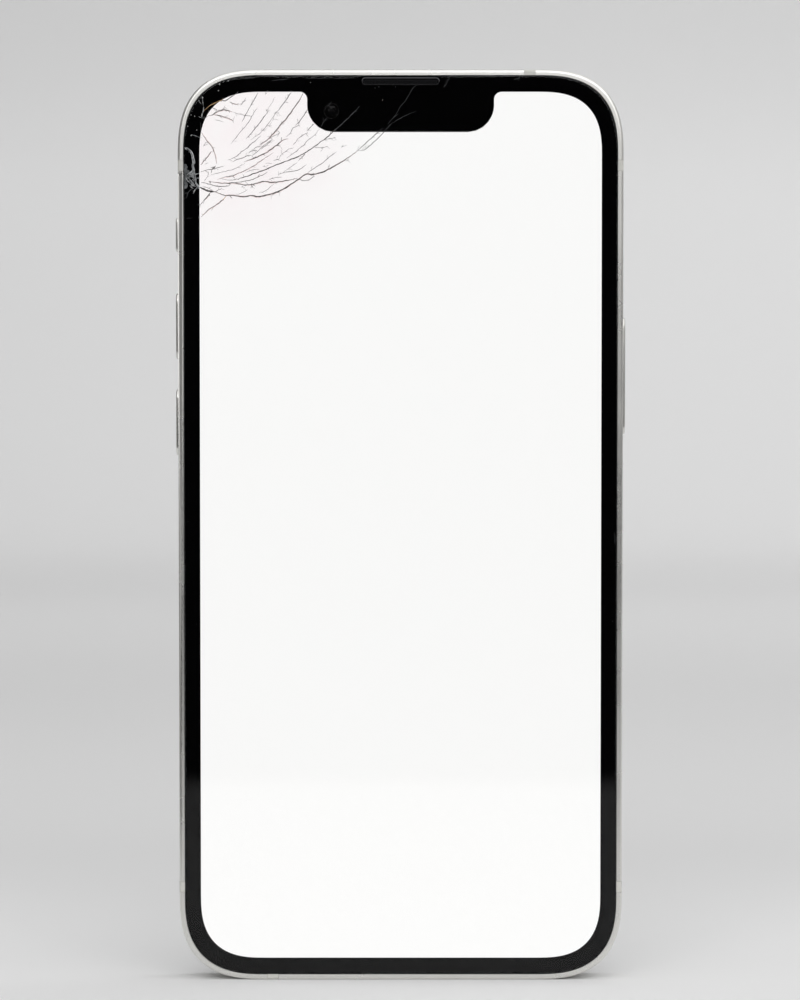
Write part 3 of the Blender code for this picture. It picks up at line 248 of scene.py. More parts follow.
# %% Colour and node helpers
def linear(hex_colour):
    """Linear light of an sRGB hex colour."""
    channels = [int(hex_colour[i:i + 2], 16) / 255 for i in (1, 3, 5)]
    return (*[c / 12.92 if c <= 0.04045 else ((c + 0.055) / 1.055) ** 2.4 for c in channels], 1.0)


def add_node(tree, kind, settings=None, links=None):
    """Adds a node, sets its values and joins its inputs to other nodes' outputs."""
    made = tree.nodes.new(kind)
    for name, value in (settings or {}).items():
        if isinstance(name, int) or name in made.inputs:
            made.inputs[name].default_value = value
        else:
            setattr(made, name, value)
    for name, output in (links or {}).items():
        tree.links.new(output, made.inputs[name])
    return made


def start_finish(name, colour, roughness, metallic=0.0, ior=None):
    """A Principled material, with its tree, its shader and the piece's own coordinates in metres."""
    skin = bpy.data.materials.new(name)
    skin.use_nodes = True
    tree = skin.node_tree
    shader = tree.nodes["Principled BSDF"]
    shader.inputs["Base Color"].default_value = linear(colour)
    shader.inputs["Roughness"].default_value = roughness
    shader.inputs["Metallic"].default_value = metallic
    if ior:
        shader.inputs["IOR"].default_value = ior
    place = add_node(tree, "ShaderNodeTexCoord").outputs["Object"]
    return skin, tree, shader, place


def grains(millimetres):
    """The scale of a noise or cell pattern whose grains are this wide."""
    return 1 / (millimetres * MM)


def noise(millimetres, detail=2.0):
    """A noise texture for `finish`, with grains of this size."""
    return "Noise", {"Scale": grains(millimetres), "Detail": detail}


def finish(name, colour, roughness, metallic=0.0, ior=None, stretch=None, shades=None, rough=None, relief=None,
           **sockets):
    """A Principled material whose colour, roughness and relief may follow a texture. `shades` holds a texture and
    two colours, `rough` a texture and two values, and `relief` a texture, a strength and a depth in millimetres.
    The first two can end with the range of the texture to use. Other sockets get plain values."""
    skin, tree, shader, place = start_finish(name, colour, roughness, metallic, ior)
    for socket, value in sockets.items():
        shader.inputs[socket.replace("_", " ")].default_value = value
    if stretch:
        place = add_node(tree, "ShaderNodeMapping", {"Scale": stretch}, {0: place}).outputs[0]

    def texture(kind, settings, output=0):
        return add_node(tree, "ShaderNodeTex" + kind, settings, {"Vector": place}).outputs[output]

    if shades:
        pattern, dark, light, *span = shades
        share = texture(*pattern)
        if span:
            share = add_node(tree, "ShaderNodeMapRange", {"From Min": span[0], "From Max": span[1]},
                             {"Value": share}).outputs[0]
        shade = add_node(tree, "ShaderNodeMix", {"data_type": "RGBA", 6: linear(dark), 7: linear(light)}, {0: share})
        tree.links.new(shade.outputs[2], shader.inputs["Base Color"])
    if rough:
        pattern, low, high, *span = rough
        start, end = span or (0.0, 1.0)
        value = add_node(tree, "ShaderNodeMapRange",
                         {"From Min": start, "From Max": end, "To Min": low, "To Max": high},
                         {"Value": texture(*pattern)})
        tree.links.new(value.outputs[0], shader.inputs["Roughness"])
    if relief:
        pattern, strength, depth = relief
        bump = add_node(tree, "ShaderNodeBump", {"Strength": strength, "Distance": depth * MM},
                        {"Height": texture(*pattern)})
        tree.links.new(bump.outputs[0], shader.inputs["Normal"])
    return skin


print("white is", [round(c, 3) for c in linear("#ffffff")], "and mid grey", round(linear("#808080")[0], 3))

# %% [markdown]
# ## Anodised aluminium
#
# The band, the buttons and the SIM tray's head are milled from aluminium, blasted with fine beads and anodised
# clear. Blasting leaves pits of a few hundredths of a millimetre, which the eye doesn't resolve but which spread
# a reflection into a soft satin. They are drawn at 0.12 mm here, as coarse as they need to be to show at all. A
# second, slower noise varies the roughness as handling does.

# %% Anodised aluminium
def anodised_aluminium(name, colour):
    """Bead-blasted, clear-anodised aluminium: pale, slightly warm, with a soft satin highlight."""
    return finish(name, colour, 0.27, metallic=1.0, rough=(noise(14, 6.0), 0.23, 0.32, 0.3, 0.7),
                  relief=(noise(0.12), 0.25, 0.01))


band_metal = anodised_aluminium("anodised aluminium, bead blasted", "#e6e5e1")
button_metal = anodised_aluminium("anodised aluminium, button", "#e2e1dd")

# %% [markdown]
# ## The band
#
# The band and the wall behind the battery are one milled part. Seen from the side it is flat, with its front and
# back edges rounded by 0.4 mm. It could be a cube with a Bevel, but the superellipse corners call for a loft: the
# outline is carried from the floor of the tray over the screen's ledge, round the outside and into the recess
# for the rear glass. The holes for the buttons, the tray, the port, the screws and the sound are cut afterwards.

# %% Shape the band
RIM = 0.9
CAVITY = 2.05
LEDGE, FLOOR_FRONT, FLOOR_BACK = 1.15, 6.2, 6.75
BAND_FRONT = (body_low.y - FRONT) / MM
BAND_BACK = (body_high.y - FRONT) / MM
BAND_MIDDLE = (BAND_FRONT + BAND_BACK) / 2
EDGE = 0.4


def band_sections():
    """Insets and depths round the band's section, from the cavity's floor forwards."""
    rings = [(CAVITY, FLOOR_FRONT), (CAVITY, LEDGE), (RIM, LEDGE), (RIM, BAND_FRONT + 0.04), (RIM - 0.04, BAND_FRONT)]
    rings += [(inset, BAND_FRONT + back) for inset, back in edge_round(EDGE)]
    rings += [(inset, BAND_BACK - back) for inset, back in reversed(edge_round(EDGE))]
    return rings + [(RIM - 0.04, BAND_BACK), (RIM, BAND_BACK - 0.04), (RIM, FLOOR_BACK)]


band = as_object("band", loft(layers(band_sections())))
print(f"the band's section has {len(band_sections())} corners")


# %% Cutters for the band
def middle_of(node):
    """The middle of a CAD node's box."""
    low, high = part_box(node)
    return (low + high) / 2


def pegs(outlines, axis, start, end):
    """A bmesh of several outlines drawn along an axis."""
    shape = bmesh.new()
    for outline in outlines:
        skin_over(shape, [in_space(outline, axis, start), in_space(outline, axis, end)])
    return shape


def box_shape(low, high):
    """A bmesh of a plain box between two corners."""
    shape = bmesh.new()
    bmesh.ops.create_cube(shape, size=1)
    for vert in shape.verts:
        vert.co = [low[i] if vert.co[i] < 0 else high[i] for i in range(3)]
    return shape


FIT = 0.1
MOUTH = 0.07  # how far a hole's mouth is broken


def side_hole(node, length, width, travel=0.0):
    """A long hole through the side of the band, its mouth broken by a small chamfer."""
    middle = middle_of(node)
    side = 1 if middle.x > 0 else -1
    sections = [(grow, side * (HALF_WIDTH + out * MM))
                for out, grow in ((0.5, MOUTH + 0.5), (0, MOUTH), (-MOUTH, 0), (-2.4, 0))]
    size = (width + travel + 2 * FIT, length + 2 * FIT)
    return loft(stacked("X", (at_depth(BAND_MIDDLE), middle.z), size, width / 2, sections))


BREAKS = {
    "antenna_break_upper_left": (-1, 0),
    "antenna_break_upper_right": (1, 0),
    "antenna_break_lower_left": (-1, 0),
    "antenna_break_lower_right": (1, 0),
    "antenna_break_top": (0, 1),
    "antenna_break_bottom": (0, -1),
}
BREAK_WIDTH = 1.8
BREAK_REACH = 2.35


def break_slab(node, clearance=0.0):
    """The slab of band that one antenna break takes up."""
    x_side, z_side = BREAKS[node]
    middle = middle_of(node)
    half = (BREAK_WIDTH / 2 - clearance) * MM
    reach = (BREAK_REACH - clearance) * MM
    front, back = at_depth(-1), at_depth(9)
    if x_side:
        edges = sorted((x_side * (HALF_WIDTH + MM), x_side * (HALF_WIDTH - reach)))
        return box_shape((edges[0], front, middle.z - half), (edges[1], back, middle.z + half))
    edge = HEIGHT if z_side > 0 else 0
    edges = sorted((edge + z_side * MM, edge - z_side * reach))
    return box_shape((middle.x - half, front, edges[0]), (middle.x + half, back, edges[1]))


def ring_of(centre, radius, height):
    """A ring of points round a shape that is turned about a vertical axis."""
    return in_space(circle(centre, radius, 40), "Z", height)


# %% Cut the band
BUTTON_WIDTH = 2.9
FLANGE = 0.6
HOLE_RADIUS, HOLE_PITCH, FIRST_HOLE, HOLES_EACH_SIDE = 0.65, 2.2, 9.2, 5
SCREW_HEAD, SCREW_SHANK = 0.78, 0.48
PORT_WIDTH, PORT_HEIGHT = 8.7, 2.7
SLIDER_LENGTH, SLIDER_WIDTH, SLIDER_TRAVEL = 5.5, 1.5, 1.1
TRAY_LENGTH, TRAY_WIDTH = 15.6, 2.4


def head_length(node):
    """Length of a button's head, which is its box without the flange at each end, in millimetres."""
    low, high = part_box(node)
    return (high.z - low.z) / MM - 2 * FLANGE


def screw_hole(node):
    """A counterbored hole for one of the two screws in the lower end."""
    x = middle_of(node).x
    profile = [(SCREW_HEAD + FIT + 0.5, -0.5), (SCREW_HEAD + FIT, 0.05), (SCREW_HEAD + FIT, 1.0)]
    profile += [(SCREW_SHANK + FIT, 1.0), (SCREW_SHANK + FIT, CAVITY + 0.5)]
    return loft([ring_of((x, at_depth(BAND_MIDDLE)), radius * MM, z * MM) for radius, z in profile])


def sound_holes():
    """Two rows of round holes beside the port, with their mouths broken."""
    shape = bmesh.new()
    for side in (-1, 1):
        for index in range(HOLES_EACH_SIDE):
            place = (side * (FIRST_HOLE + HOLE_PITCH * index) * MM, at_depth(BAND_MIDDLE))
            profile = [(HOLE_RADIUS + 0.5, -0.45), (HOLE_RADIUS, 0.05), (HOLE_RADIUS, CAVITY + 0.5)]
            skin_over(shape, [ring_of(place, radius * MM, z * MM) for radius, z in profile])
    return shape


def port_hole():
    """The port's opening, a slot with round ends."""
    sections = [(0.5, -0.42 * MM), (0, 0.08 * MM), (0, (CAVITY + 0.5) * MM)]
    size = (PORT_WIDTH, PORT_HEIGHT)
    return loft(stacked("Z", (0, at_depth(BAND_MIDDLE)), size, PORT_HEIGHT / 2 - FIT, sections, 10))


cutters = [side_hole(node, head_length(node), BUTTON_WIDTH)
           for node in ("power_button", "volume_up_button", "volume_down_button")]
cutters.append(side_hole("silent_slider", SLIDER_LENGTH, SLIDER_WIDTH, SLIDER_TRAVEL))
cutters.append(side_hole("sim_tray", TRAY_LENGTH, TRAY_WIDTH))
cutters += [screw_hole("bottom_screw_left"), screw_hole("bottom_screw_right"), sound_holes(), port_hole()]
cutters += [break_slab(node) for node in BREAKS]
carve(band, cutters)
print(f"{len(cutters)} cutters leave {len(band.data.polygons)} faces")

# %% [markdown]
# The wall behind the battery has round openings for the charging coil, both lenses, the flash and the rear
# microphone, and three bosses that the board is screwed to. The blow that broke the glass also left a nick in
# the band's front edge: a small ball, pushed out of round by noise, is cut from it.

# %% Finish the band
def lumpy_ball(centre, radius, stretch, seed, detail=3, roughness=0.35):
    """A ball out of round, for chips and nicks, from its own seeded wobble."""
    chance = random.Random(seed)
    waves = [(Vector([chance.uniform(-1, 1) for _ in range(3)]) * 3, chance.uniform(0, math.tau)) for _ in range(5)]
    shape = bmesh.new()
    bmesh.ops.create_icosphere(shape, subdivisions=detail, radius=1)
    for vert in shape.verts:
        swell = 1 + roughness * sum(math.sin(vert.co.dot(way) + phase) for way, phase in waves) / len(waves)
        vert.co = Vector(centre) + Vector([vert.co[i] * stretch[i] for i in range(3)]) * radius * MM * swell
    return shape


LENS_OPENING, FLASH_OPENING, SOUND_OPENING = 5.1, 2.7, 0.5  # radii in the wall behind the battery
BOSS_RADIUS, BOSS_HOLE = 1.35, 0.58
NICK_DOWN, NICK_RADIUS = 16.6, 0.5
main_lens, wide_lens = middle_of("main_camera_lens"), middle_of("wide_camera_lens")
flash, microphone = middle_of("flash_window"), middle_of("rear_microphone")
coil = middle_of("magnet_ring")
coil_radius = (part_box("magnet_ring")[1].x - coil.x) / MM
floor_openings = [
    circle((coil.x, HEIGHT / 2), (coil_radius + 0.3) * MM, 96),
    circle((main_lens.x, main_lens.z), LENS_OPENING * MM),
    circle((wide_lens.x, wide_lens.z), LENS_OPENING * MM),
    circle((flash.x, flash.z), FLASH_OPENING * MM, 40),
    circle((microphone.x, microphone.z), SOUND_OPENING * MM, 20),
]
screws = [middle_of("board_screw_" + place) for place in ("lower_left", "upper_left", "upper_right")]
boss_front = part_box("logic_board")[1].y + FIT * MM
boss_rounds = [circle((s.x, s.z), BOSS_RADIUS * MM, 32) for s in screws]
thread_rounds = [circle((s.x, s.z), BOSS_HOLE * MM, 24) for s in screws]
bosses = pegs(boss_rounds, "Y", boss_front, at_depth(FLOOR_FRONT + 0.2))
threads = pegs(thread_rounds, "Y", boss_front - MM, at_depth(FLOOR_FRONT))
carve(band, [bosses], "UNION")
nick_place = (-HALF_WIDTH + 0.05 * MM, at_depth(BAND_FRONT), HEIGHT - NICK_DOWN * MM)
nick = lumpy_ball(nick_place, NICK_RADIUS, (1, 0.6, 0.9), seed=4)
carve(band, [pegs(floor_openings, "Y", at_depth(FLOOR_FRONT - 1), at_depth(FLOOR_BACK + 1)), threads, nick])
dress(band, band_metal, stands_for=["housing"])

# %% [markdown]
# ## Antenna breaks
#
# Radio waves don't pass through aluminium, so six narrow breaks of plastic split the band. They are moulded into
# it and milled with it, so each has exactly the band's own section. The plastic is a glass-filled PBT, dyed to
# match: a little warmer and duller than the metal, with no metallic sheen.

# %% Antenna breaks
BREAK_GAP = 0.03
# moulded and milled PBT: pale and matt, with faint flow marks
break_plastic = finish("moulded PBT, antenna break", "#cfcec8", 0.5, ior=1.55,
                       shades=(noise(0.6, 3.0), "#c8c7c1", "#d8d7d1"))
for node in BREAKS:
    plug = as_object(node + "_plastic", loft(layers(band_sections())))
    carve(plug, [break_slab(node, BREAK_GAP)], "INTERSECT")
    dress(plug, break_plastic, stands_for=[node])

# %% [markdown]
# ## Buttons and the silent slider
#
# A button is a long pill with a small flange behind the band that keeps it in. Each rides on its own body of the
# frame, so it still presses in and springs back.

# %% Buttons
def pill_rings(side, middle, length, width, sections):
    """Rings of a long pill through the band, from (place inwards of the side, growth) pairs."""
    placed = [(grow, side * (HALF_WIDTH - inwards * MM)) for inwards, grow in sections]
    return stacked("X", (middle.y, middle.z), (width, length), width / 2 - 0.05, placed, 14)


def button(node, length, width, body, proud=0.45):
    """A button with a softly rounded head and its flange."""
    middle = middle_of(node)
    sections = [(back - proud, -inset) for inset, back in edge_round(0.24, 6)]
    sections += [(CAVITY + FIT, 0), (CAVITY + FIT, FLANGE), (CAVITY + FIT + 0.5, FLANGE)]
    made = as_object(node + "_cap", loft(pill_rings(1 if middle.x > 0 else -1, middle, length, width, sections)))
    return dress(made, button_metal, body=body, stands_for=[node])


for node in ("power_button", "volume_up_button", "volume_down_button"):
    button(node, head_length(node), BUTTON_WIDTH, node)
button("silent_slider", SLIDER_LENGTH, SLIDER_WIDTH, "silent_slider")

# %% [markdown]
# ## The SIM tray
#
# The tray's head lies flush in the band and has a small hole for a pin. The blade behind it is die cast, with a
# window for the card and a low rim round the window.

# %% SIM tray
TRAY_HEAD, BLADE_WIDTH, BLADE_THICKNESS, BLADE_CORNER = 1.45, 13.3, 0.7, 0.9
WINDOW_LENGTH, WINDOW_WIDTH, WINDOW_CORNER, WINDOW_FROM_END = 8.6, 12.1, 0.6, 4.9
SHELF_PAST_WINDOW, SHELF_DEPTH = 0.2, 0.15
PIN_DROP, PIN_RADIUS, PIN_REACH = 5.4, 0.425, 3


def sim_tray():
    """The tray: a flush head with its pin hole, and a blade with a window."""
    low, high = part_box("sim_tray")
    middle = middle_of("sim_tray")
    sections = [(back, -inset) for inset, back in edge_round(0.12, 4)] + [(TRAY_HEAD, 0)]
    tray = as_object("sim_tray_head", loft(pill_rings(-1, middle, TRAY_LENGTH, TRAY_WIDTH, sections)))
    size = (high.x + HALF_WIDTH - TRAY_HEAD * MM + 0.2 * MM, BLADE_WIDTH * MM)
    blade = rounded_outline((high.x - size[0] / 2, middle.z), *size, BLADE_CORNER * MM)
    faces = (middle.y - BLADE_THICKNESS / 2 * MM, middle.y + BLADE_THICKNESS / 2 * MM)
    carve(tray, [extrusion(blade, "Y", *faces)], "UNION")
    outlines = []
    for grow in (0, SHELF_PAST_WINDOW):
        outlines.append(rounded_outline(
            (high.x - WINDOW_FROM_END * MM, middle.z), (WINDOW_LENGTH + 2 * grow) * MM,
            (WINDOW_WIDTH + 2 * grow) * MM, (WINDOW_CORNER + grow) * MM))
    pin_hole = circle((middle.y, middle.z - PIN_DROP * MM), PIN_RADIUS * MM, 32)
    cuts = [extrusion(outlines[0], "Y", faces[0] - MM, faces[1] + MM),
            extrusion(pin_hole, "X", low.x - MM, low.x + PIN_REACH * MM),
            extrusion(outlines[1], "Y", faces[0] - MM, faces[0] + SHELF_DEPTH * MM)]
    carve(tray, cuts)
    return dress(tray, band_metal, body="sim_tray", stands_for=["sim_tray"])


sim_tray()

# %% [markdown]
# ## The lower edge
#
# The port is a drawn steel shell with a tongue in it, and the tongue carries twelve gold-plated contacts on each
# side. Two screws with a cross recess hold the display.

# %% Port, contacts and screws
def steel_finish(name, colour, roughness=0.28):
    """Stamped or drawn steel: cold grey, with fine rolling lines along it."""
    lines = noise(0.08, 4.0)
    return finish(name, colour, roughness, metallic=1.0, stretch=(0.04, 1, 1),
                  rough=(lines, roughness - 0.07, roughness + 0.1), relief=(lines, 0.3, 0.01))


def plated_finish(name, colour, roughness=0.22):
    """A thin bright plating, with faint stains a few millimetres across."""
    return finish(name, colour, roughness, metallic=1.0, rough=(noise(2.5, 5.0), roughness - 0.06, roughness + 0.14))


steel = steel_finish("stamped stainless steel", "#b9bab9")
black_steel = steel_finish("steel, black oxide", "#2c2c2e", 0.34)
gold = plated_finish("gold plating over nickel", "#d8b36a")
PORT_WALL, PORT_DEPTH = 0.35, 6.2
TONGUE_WIDTH, TONGUE_THICKNESS = 6.6, 0.7
CONTACTS, CONTACT_PITCH, CONTACT_WIDTH, CONTACT_LENGTH = 12, 0.5, 0.26, 2.6
THREAD_PITCH, THREAD_DEPTH, CROSS_REACH, CROSS_HALF, CROSS_DEPTH = 0.25, 0.1, 0.42, 0.09, 0.35


def port_shell():
    """The shell with its tongue, in place of the plain CAD port."""
    low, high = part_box("charging_port")
    centre = (0, (low.y + high.y) / 2)
    sections = [(grow, low.z + z * MM) for grow, z in
                ((0, PORT_DEPTH - 0.35), (0, 0.12), (0.12, 0), (PORT_WALL, 0), (PORT_WALL, PORT_DEPTH))]
    rings = stacked("Z", centre, (PORT_WIDTH, PORT_HEIGHT), PORT_HEIGHT / 2 - FIT, sections, 12)
    shell = as_object("charging_port_shell", loft(rings))
    tongue = []
    for inset, z in ((0.12, 0.6), (0, 0.8), (0, PORT_DEPTH - 0.2)):
        size = ((TONGUE_WIDTH - 2 * inset) * MM, (TONGUE_THICKNESS - inset) * MM)
        outline = rounded_outline(centre, *size, 0.15 * MM, 4)
        tongue.append(in_space(outline, "Z", low.z + z * MM))
    carve(shell, [loft(tongue)], "UNION")
    return dress(shell, steel, stands_for=["charging_port"])


def port_contacts():
    """Twelve contacts on each face of the tongue."""
    low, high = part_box("charging_port")
    middle = (low.y + high.y) / 2
    shape = bmesh.new()
    for face in (-1, 1):
        for index in range(CONTACTS):
            centre = ((index - (CONTACTS - 1) / 2) * CONTACT_PITCH * MM, low.z + 2.4 * MM)
            outline = rounded_outline(centre, CONTACT_WIDTH * MM, CONTACT_LENGTH * MM, 0.08 * MM, 3)
            ends = sorted((middle + face * 0.33 * MM, middle + face * 0.38 * MM))
            skin_over(shape, [in_space(outline, "Y", ends[0]), in_space(outline, "Y", ends[1])])
    return dress(as_object("charging_port_contacts", shape), gold)


def end_screw(node):
    """A screw with a low domed head, a cross recess and a thread."""
    low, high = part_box(node)
    centre = middle_of(node)
    length = (high.z - low.z) / MM
    profile = [(0.55, 0), (0.7, 0.03), (SCREW_HEAD - 0.02, 0.1), (SCREW_HEAD, 0.18), (SCREW_HEAD, 0.8)]
    profile += [(SCREW_SHANK - THREAD_DEPTH, 0.8), (SCREW_SHANK - THREAD_DEPTH, 1.1)]
    for turn in range(int((length - 1.3) / THREAD_PITCH)):
        start = 1.15 + THREAD_PITCH * turn
        profile += [(SCREW_SHANK, start + 0.1), (SCREW_SHANK - THREAD_DEPTH, start + 0.2)]
    profile.append((SCREW_SHANK - 0.2, length))
    rings = [ring_of((centre.x, centre.y), radius * MM, low.z + z * MM) for radius, z in profile]
    screw = as_object(node + "_turned", loft(rings))
    slots = []
    for across, along in ((CROSS_REACH, CROSS_HALF), (CROSS_HALF, CROSS_REACH)):
        corner = Vector((across, along, 0)) * MM
        slots.append(box_shape((centre.x - corner.x, centre.y - corner.y, low.z - MM),
                               (centre.x + corner.x, centre.y + corner.y, low.z + CROSS_DEPTH * MM)))
    carve(screw, slots)
    return dress(screw, black_steel, stands_for=[node])


port_shell()
port_contacts()
end_screw("bottom_screw_left")
end_screw("bottom_screw_right")

# %% [markdown]
# ## Rear glass, cameras and flash
#
# The rear glass is one sheet with a raised plateau for the cameras. Both show the same frosted glass: the print
# behind it gives the colour, an etch gives the fine grain. Its edge meets the plateau in a small fillet, which the
# loft draws as a short flare.

# %% Rear glass
REAR_BACK = (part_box("rear_glass")[1].y - FRONT) / MM
REAR_FRONT = (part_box("rear_glass")[0].y - FRONT) / MM
REAR_SHEET = 7.65
EDGE_OF_GLASS = 0.16
RING_HOLE, FLASH_HOLE, SOUND_HOLE = 6.0, 2.5, 0.4  # radii
PLATEAU_WIDTH, PLATEAU_CORNER, PLATEAU_PAST_LENS = 17, 7.8, 8.7
rings = [(GLASS_INSET / MM, REAR_FRONT)]
rings += [(GLASS_INSET / MM + inset, REAR_SHEET - back) for inset, back in reversed(edge_round(EDGE_OF_GLASS))]
rear = as_object("rear_glass_sheet", loft(layers(rings)))
plateau_size = (PLATEAU_WIDTH, (main_lens.z - wide_lens.z) / MM + 2 * PLATEAU_PAST_LENS)
plateau_middle = (main_lens.x, (main_lens.z + wide_lens.z) / 2)
fillet = [(0.35, -0.05), (0.16, 0.03), (0.05, 0.12), (0, 0.3)]  # growth, and depth from the sheet's back
sections = [(grow, at_depth(REAR_SHEET + depth)) for grow, depth in fillet]
sections += [(-i, at_depth(REAR_BACK - back)) for i, back in reversed(edge_round(0.4, 8))]
plateau = stacked("Y", plateau_middle, plateau_size, PLATEAU_CORNER, sections, 20)
carve(rear, [loft(plateau)], "UNION")
holes = [circle((lens.x, lens.z), RING_HOLE * MM, 96) for lens in (main_lens, wide_lens)]
holes += [circle((flash.x, flash.z), FLASH_HOLE * MM, 48), circle((microphone.x, microphone.z), SOUND_HOLE * MM, 24)]
carve(rear, [pegs(holes, "Y", at_depth(REAR_FRONT - 1), at_depth(REAR_BACK + 1))])
# etched glass over a pale grey print: satin, with a faint grain and handling marks
etched_glass = finish("etched rear glass over print", "#c9cbcc", 0.36, ior=1.5,
                      rough=(noise(22, 7.0), 0.30, 0.42, 0.35, 0.65), relief=(noise(0.15, 3.0), 0.15, 0.01))
dress(rear, etched_glass, stands_for=["rear_glass"])

# %% [markdown]
# Turned parts come from a profile of radius and depth that is carried round an axis. A camera is a polished ring
# with a flat cover glass, and below it a black barrel whose baffles step down to a domed front element with a
# faintly violet coating.

# %% Cameras
def turned(centre, profile, steps=96, endless=True):
    """A bmesh turned round an axis along Y, from pairs of radius and depth in millimetres."""
    rings = [in_space(circle((centre.x, centre.z), r * MM, steps), "Y", at_depth(depth)) for r, depth in profile]
    return loft(rings, endless)


def coated_glass(name, tint, coat=0.6, ior=1.52):
    """Lens glass: clear, with a tinted coating and a few specks of dust on it."""
    dust = ("Voronoi", {"Scale": grains(0.9)})
    return finish(name, tint, 0.0, ior=ior, Transmission_Weight=1.0, Coat_Weight=coat, Coat_Tint=linear("#e9e8f6"),
                  rough=(dust, 0.35, 0.0, 0.0, 0.03))


def black_moulding(name, colour="#0b0b0c", roughness=0.45):
    """Black nylon or polycarbonate from a spark-eroded mould."""
    grain = noise(0.1, 3.0)
    return finish(name, colour, roughness, ior=1.5, rough=(grain, roughness - 0.08, roughness + 0.1),
                  relief=(grain, 0.4, 0.01))


ring_metal = steel_finish("polished steel, camera ring", "#c9c9c8", 0.16)
cover_clear = coated_glass("sapphire lens cover", "#ffffff")
lens_clear = coated_glass("moulded lens element, coated", "#f2f1f5")
lens_dim = coated_glass("front lens element, anti-reflective", "#2b2c3a", coat=0.0, ior=1.2)
nylon = black_moulding("black glass-filled nylon")


def camera_set(lens, names, body):
    """Ring, cover, barrel and front element of one rear camera."""
    ring_node, cover_node, barrel_node = names
    ring = [(4.7, 7.85), (5.9, 7.85), (5.9, 9.15), (6.3, 9.15)]
    ring += [(6.3 - inset, 10.05 - back) for inset, back in reversed(edge_round(0.2, 6))]
    ring += [(5.22, 10.05), (5.1, 9.93), (5.1, 9.35), (4.7, 9.35)]
    dress(as_object(ring_node + "_turned", turned(lens, ring)), ring_metal, stands_for=[ring_node])
    cover = [(4.92, 9.45), (5.0, 9.53), (5.0, 9.87), (4.92, 9.95)]
    dress(as_object(cover_node + "_disc", turned(lens, cover, endless=False)), cover_clear,
          stands_for=[cover_node])
    barrel = [(2.6, 4.475), (3.8, 4.475), (3.8, 8.4), (3.7, 8.5), (3.35, 8.5), (3.25, 8.3), (3.05, 8.3)]
    barrel += [(2.95, 8.1), (2.7, 8.1), (2.6, 7.9), (2.4, 7.9), (2.35, 7.6), (2.6, 7.5)]
    dress(as_object(barrel_node + "_barrel", turned(lens, barrel)), nylon, body=body,
          stands_for=[barrel_node])
    dome = [(2.38, 7.25)]
    dome += [(2.38 * math.cos(a), 7.35 + 0.55 * math.sin(a)) for a in [math.radians(d) for d in range(0, 90, 9)]]
    dome += [(0.02, 7.9)]
    dress(as_object(barrel_node + "_element", turned(lens, dome, endless=False)), lens_clear, body=body)
    disc = [(2.5, 6.5), (2.55, 6.6), (2.0, 6.7)]
    dress(as_object(barrel_node + "_stop", turned(lens, disc, endless=False)), nylon, body=body)


camera_set(main_lens, ("main_camera_ring", "main_camera_cover", "main_camera_lens"), "main_camera_lens")
camera_set(wide_lens, ("wide_camera_ring", "wide_camera_cover", "wide_camera_lens"), "phone")


# %% Flash
def flash_window():
    """The flash's window, with Fresnel prisms on its inner face."""
    low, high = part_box("flash_window")
    front, back = (low.y - FRONT) / MM, (high.y - FRONT) / MM
    profile = [(0.05, front + 0.12)]
    for ring in range(1, 8):
        profile += [(ring * 0.3, front + 0.02), (ring * 0.3 + 0.02, front + 0.14)]
    profile += [(2.35, front + 0.05), (2.4, front + 0.1), (2.4, back - 0.06), (2.34, back)]
    window = as_object("flash_window_fresnel", turned(flash, profile, 64, endless=False))
    clear_moulding = finish("clear polycarbonate, flash window", "#fbfaf4", 0.08, ior=1.58, Transmission_Weight=0.9,
                            relief=(noise(0.2), 0.2, 0.01))
    return dress(window, clear_moulding, stands_for=["flash_window"], angle=20)


flash_window()

# %% [markdown]
# ## The screen
#
# The lit panel lies just behind the glass. Between them a thin black print on the glass's inner face gives the
# border and the wide notch, so the outline of the picture is the outline of that print. The notch's lower corners
# are round and its upper corners flare into the edge of the picture.

# %% Outline of the picture
PICTURE_INSET_ACROSS, PICTURE_INSET_UP = 3.47, 3.53
PICTURE_CORNER = 10.25
NOTCH_WIDTH, NOTCH_HEIGHT, NOTCH_CORNER, NOTCH_FLARE = 29.95, 6.25, 4.1, 1.2


def picture_outline(steps=20):
    """The lit picture's outline: a rounded rectangle with the notch taken from its upper edge."""
    size = (2 * (HALF_WIDTH - PICTURE_INSET_ACROSS * MM), HEIGHT - 2 * PICTURE_INSET_UP * MM)
    corner = PICTURE_CORNER * MM
    frame_points = rounded_outline((0, HEIGHT / 2), *size, corner, steps, CORNER_POWER)
    top = HEIGHT - PICTURE_INSET_UP * MM
    half, reach, flare = NOTCH_WIDTH / 2 * MM, NOTCH_CORNER * MM, NOTCH_FLARE * MM
    right = quarter((half + flare, top - flare), flare, 1, 8)
    lower = quarter((half - reach, top - NOTCH_HEIGHT * MM + reach), reach, 3, 14)[::-1]
    notch = right + lower
    notch += [(-x, z) for x, z in reversed(notch)]
    return frame_points[:steps + 1] + notch + frame_points[steps + 1:]


def is_lit(x, z):
    """Whether a place on the glass lies over the lit picture."""
    outline = picture_outline()
    inside = False
    for (x1, z1), (x2, z2) in zip(outline, outline[-1:] + outline[:-1]):
        if (z1 > z) != (z2 > z) and x < (x2 - x1) * (z - z1) / (z2 - z1) + x1:
            inside = not inside
    return inside


print("lit at the middle:", is_lit(0, HEIGHT / 2), "and in the notch:", is_lit(0, HEIGHT - 5 * MM))


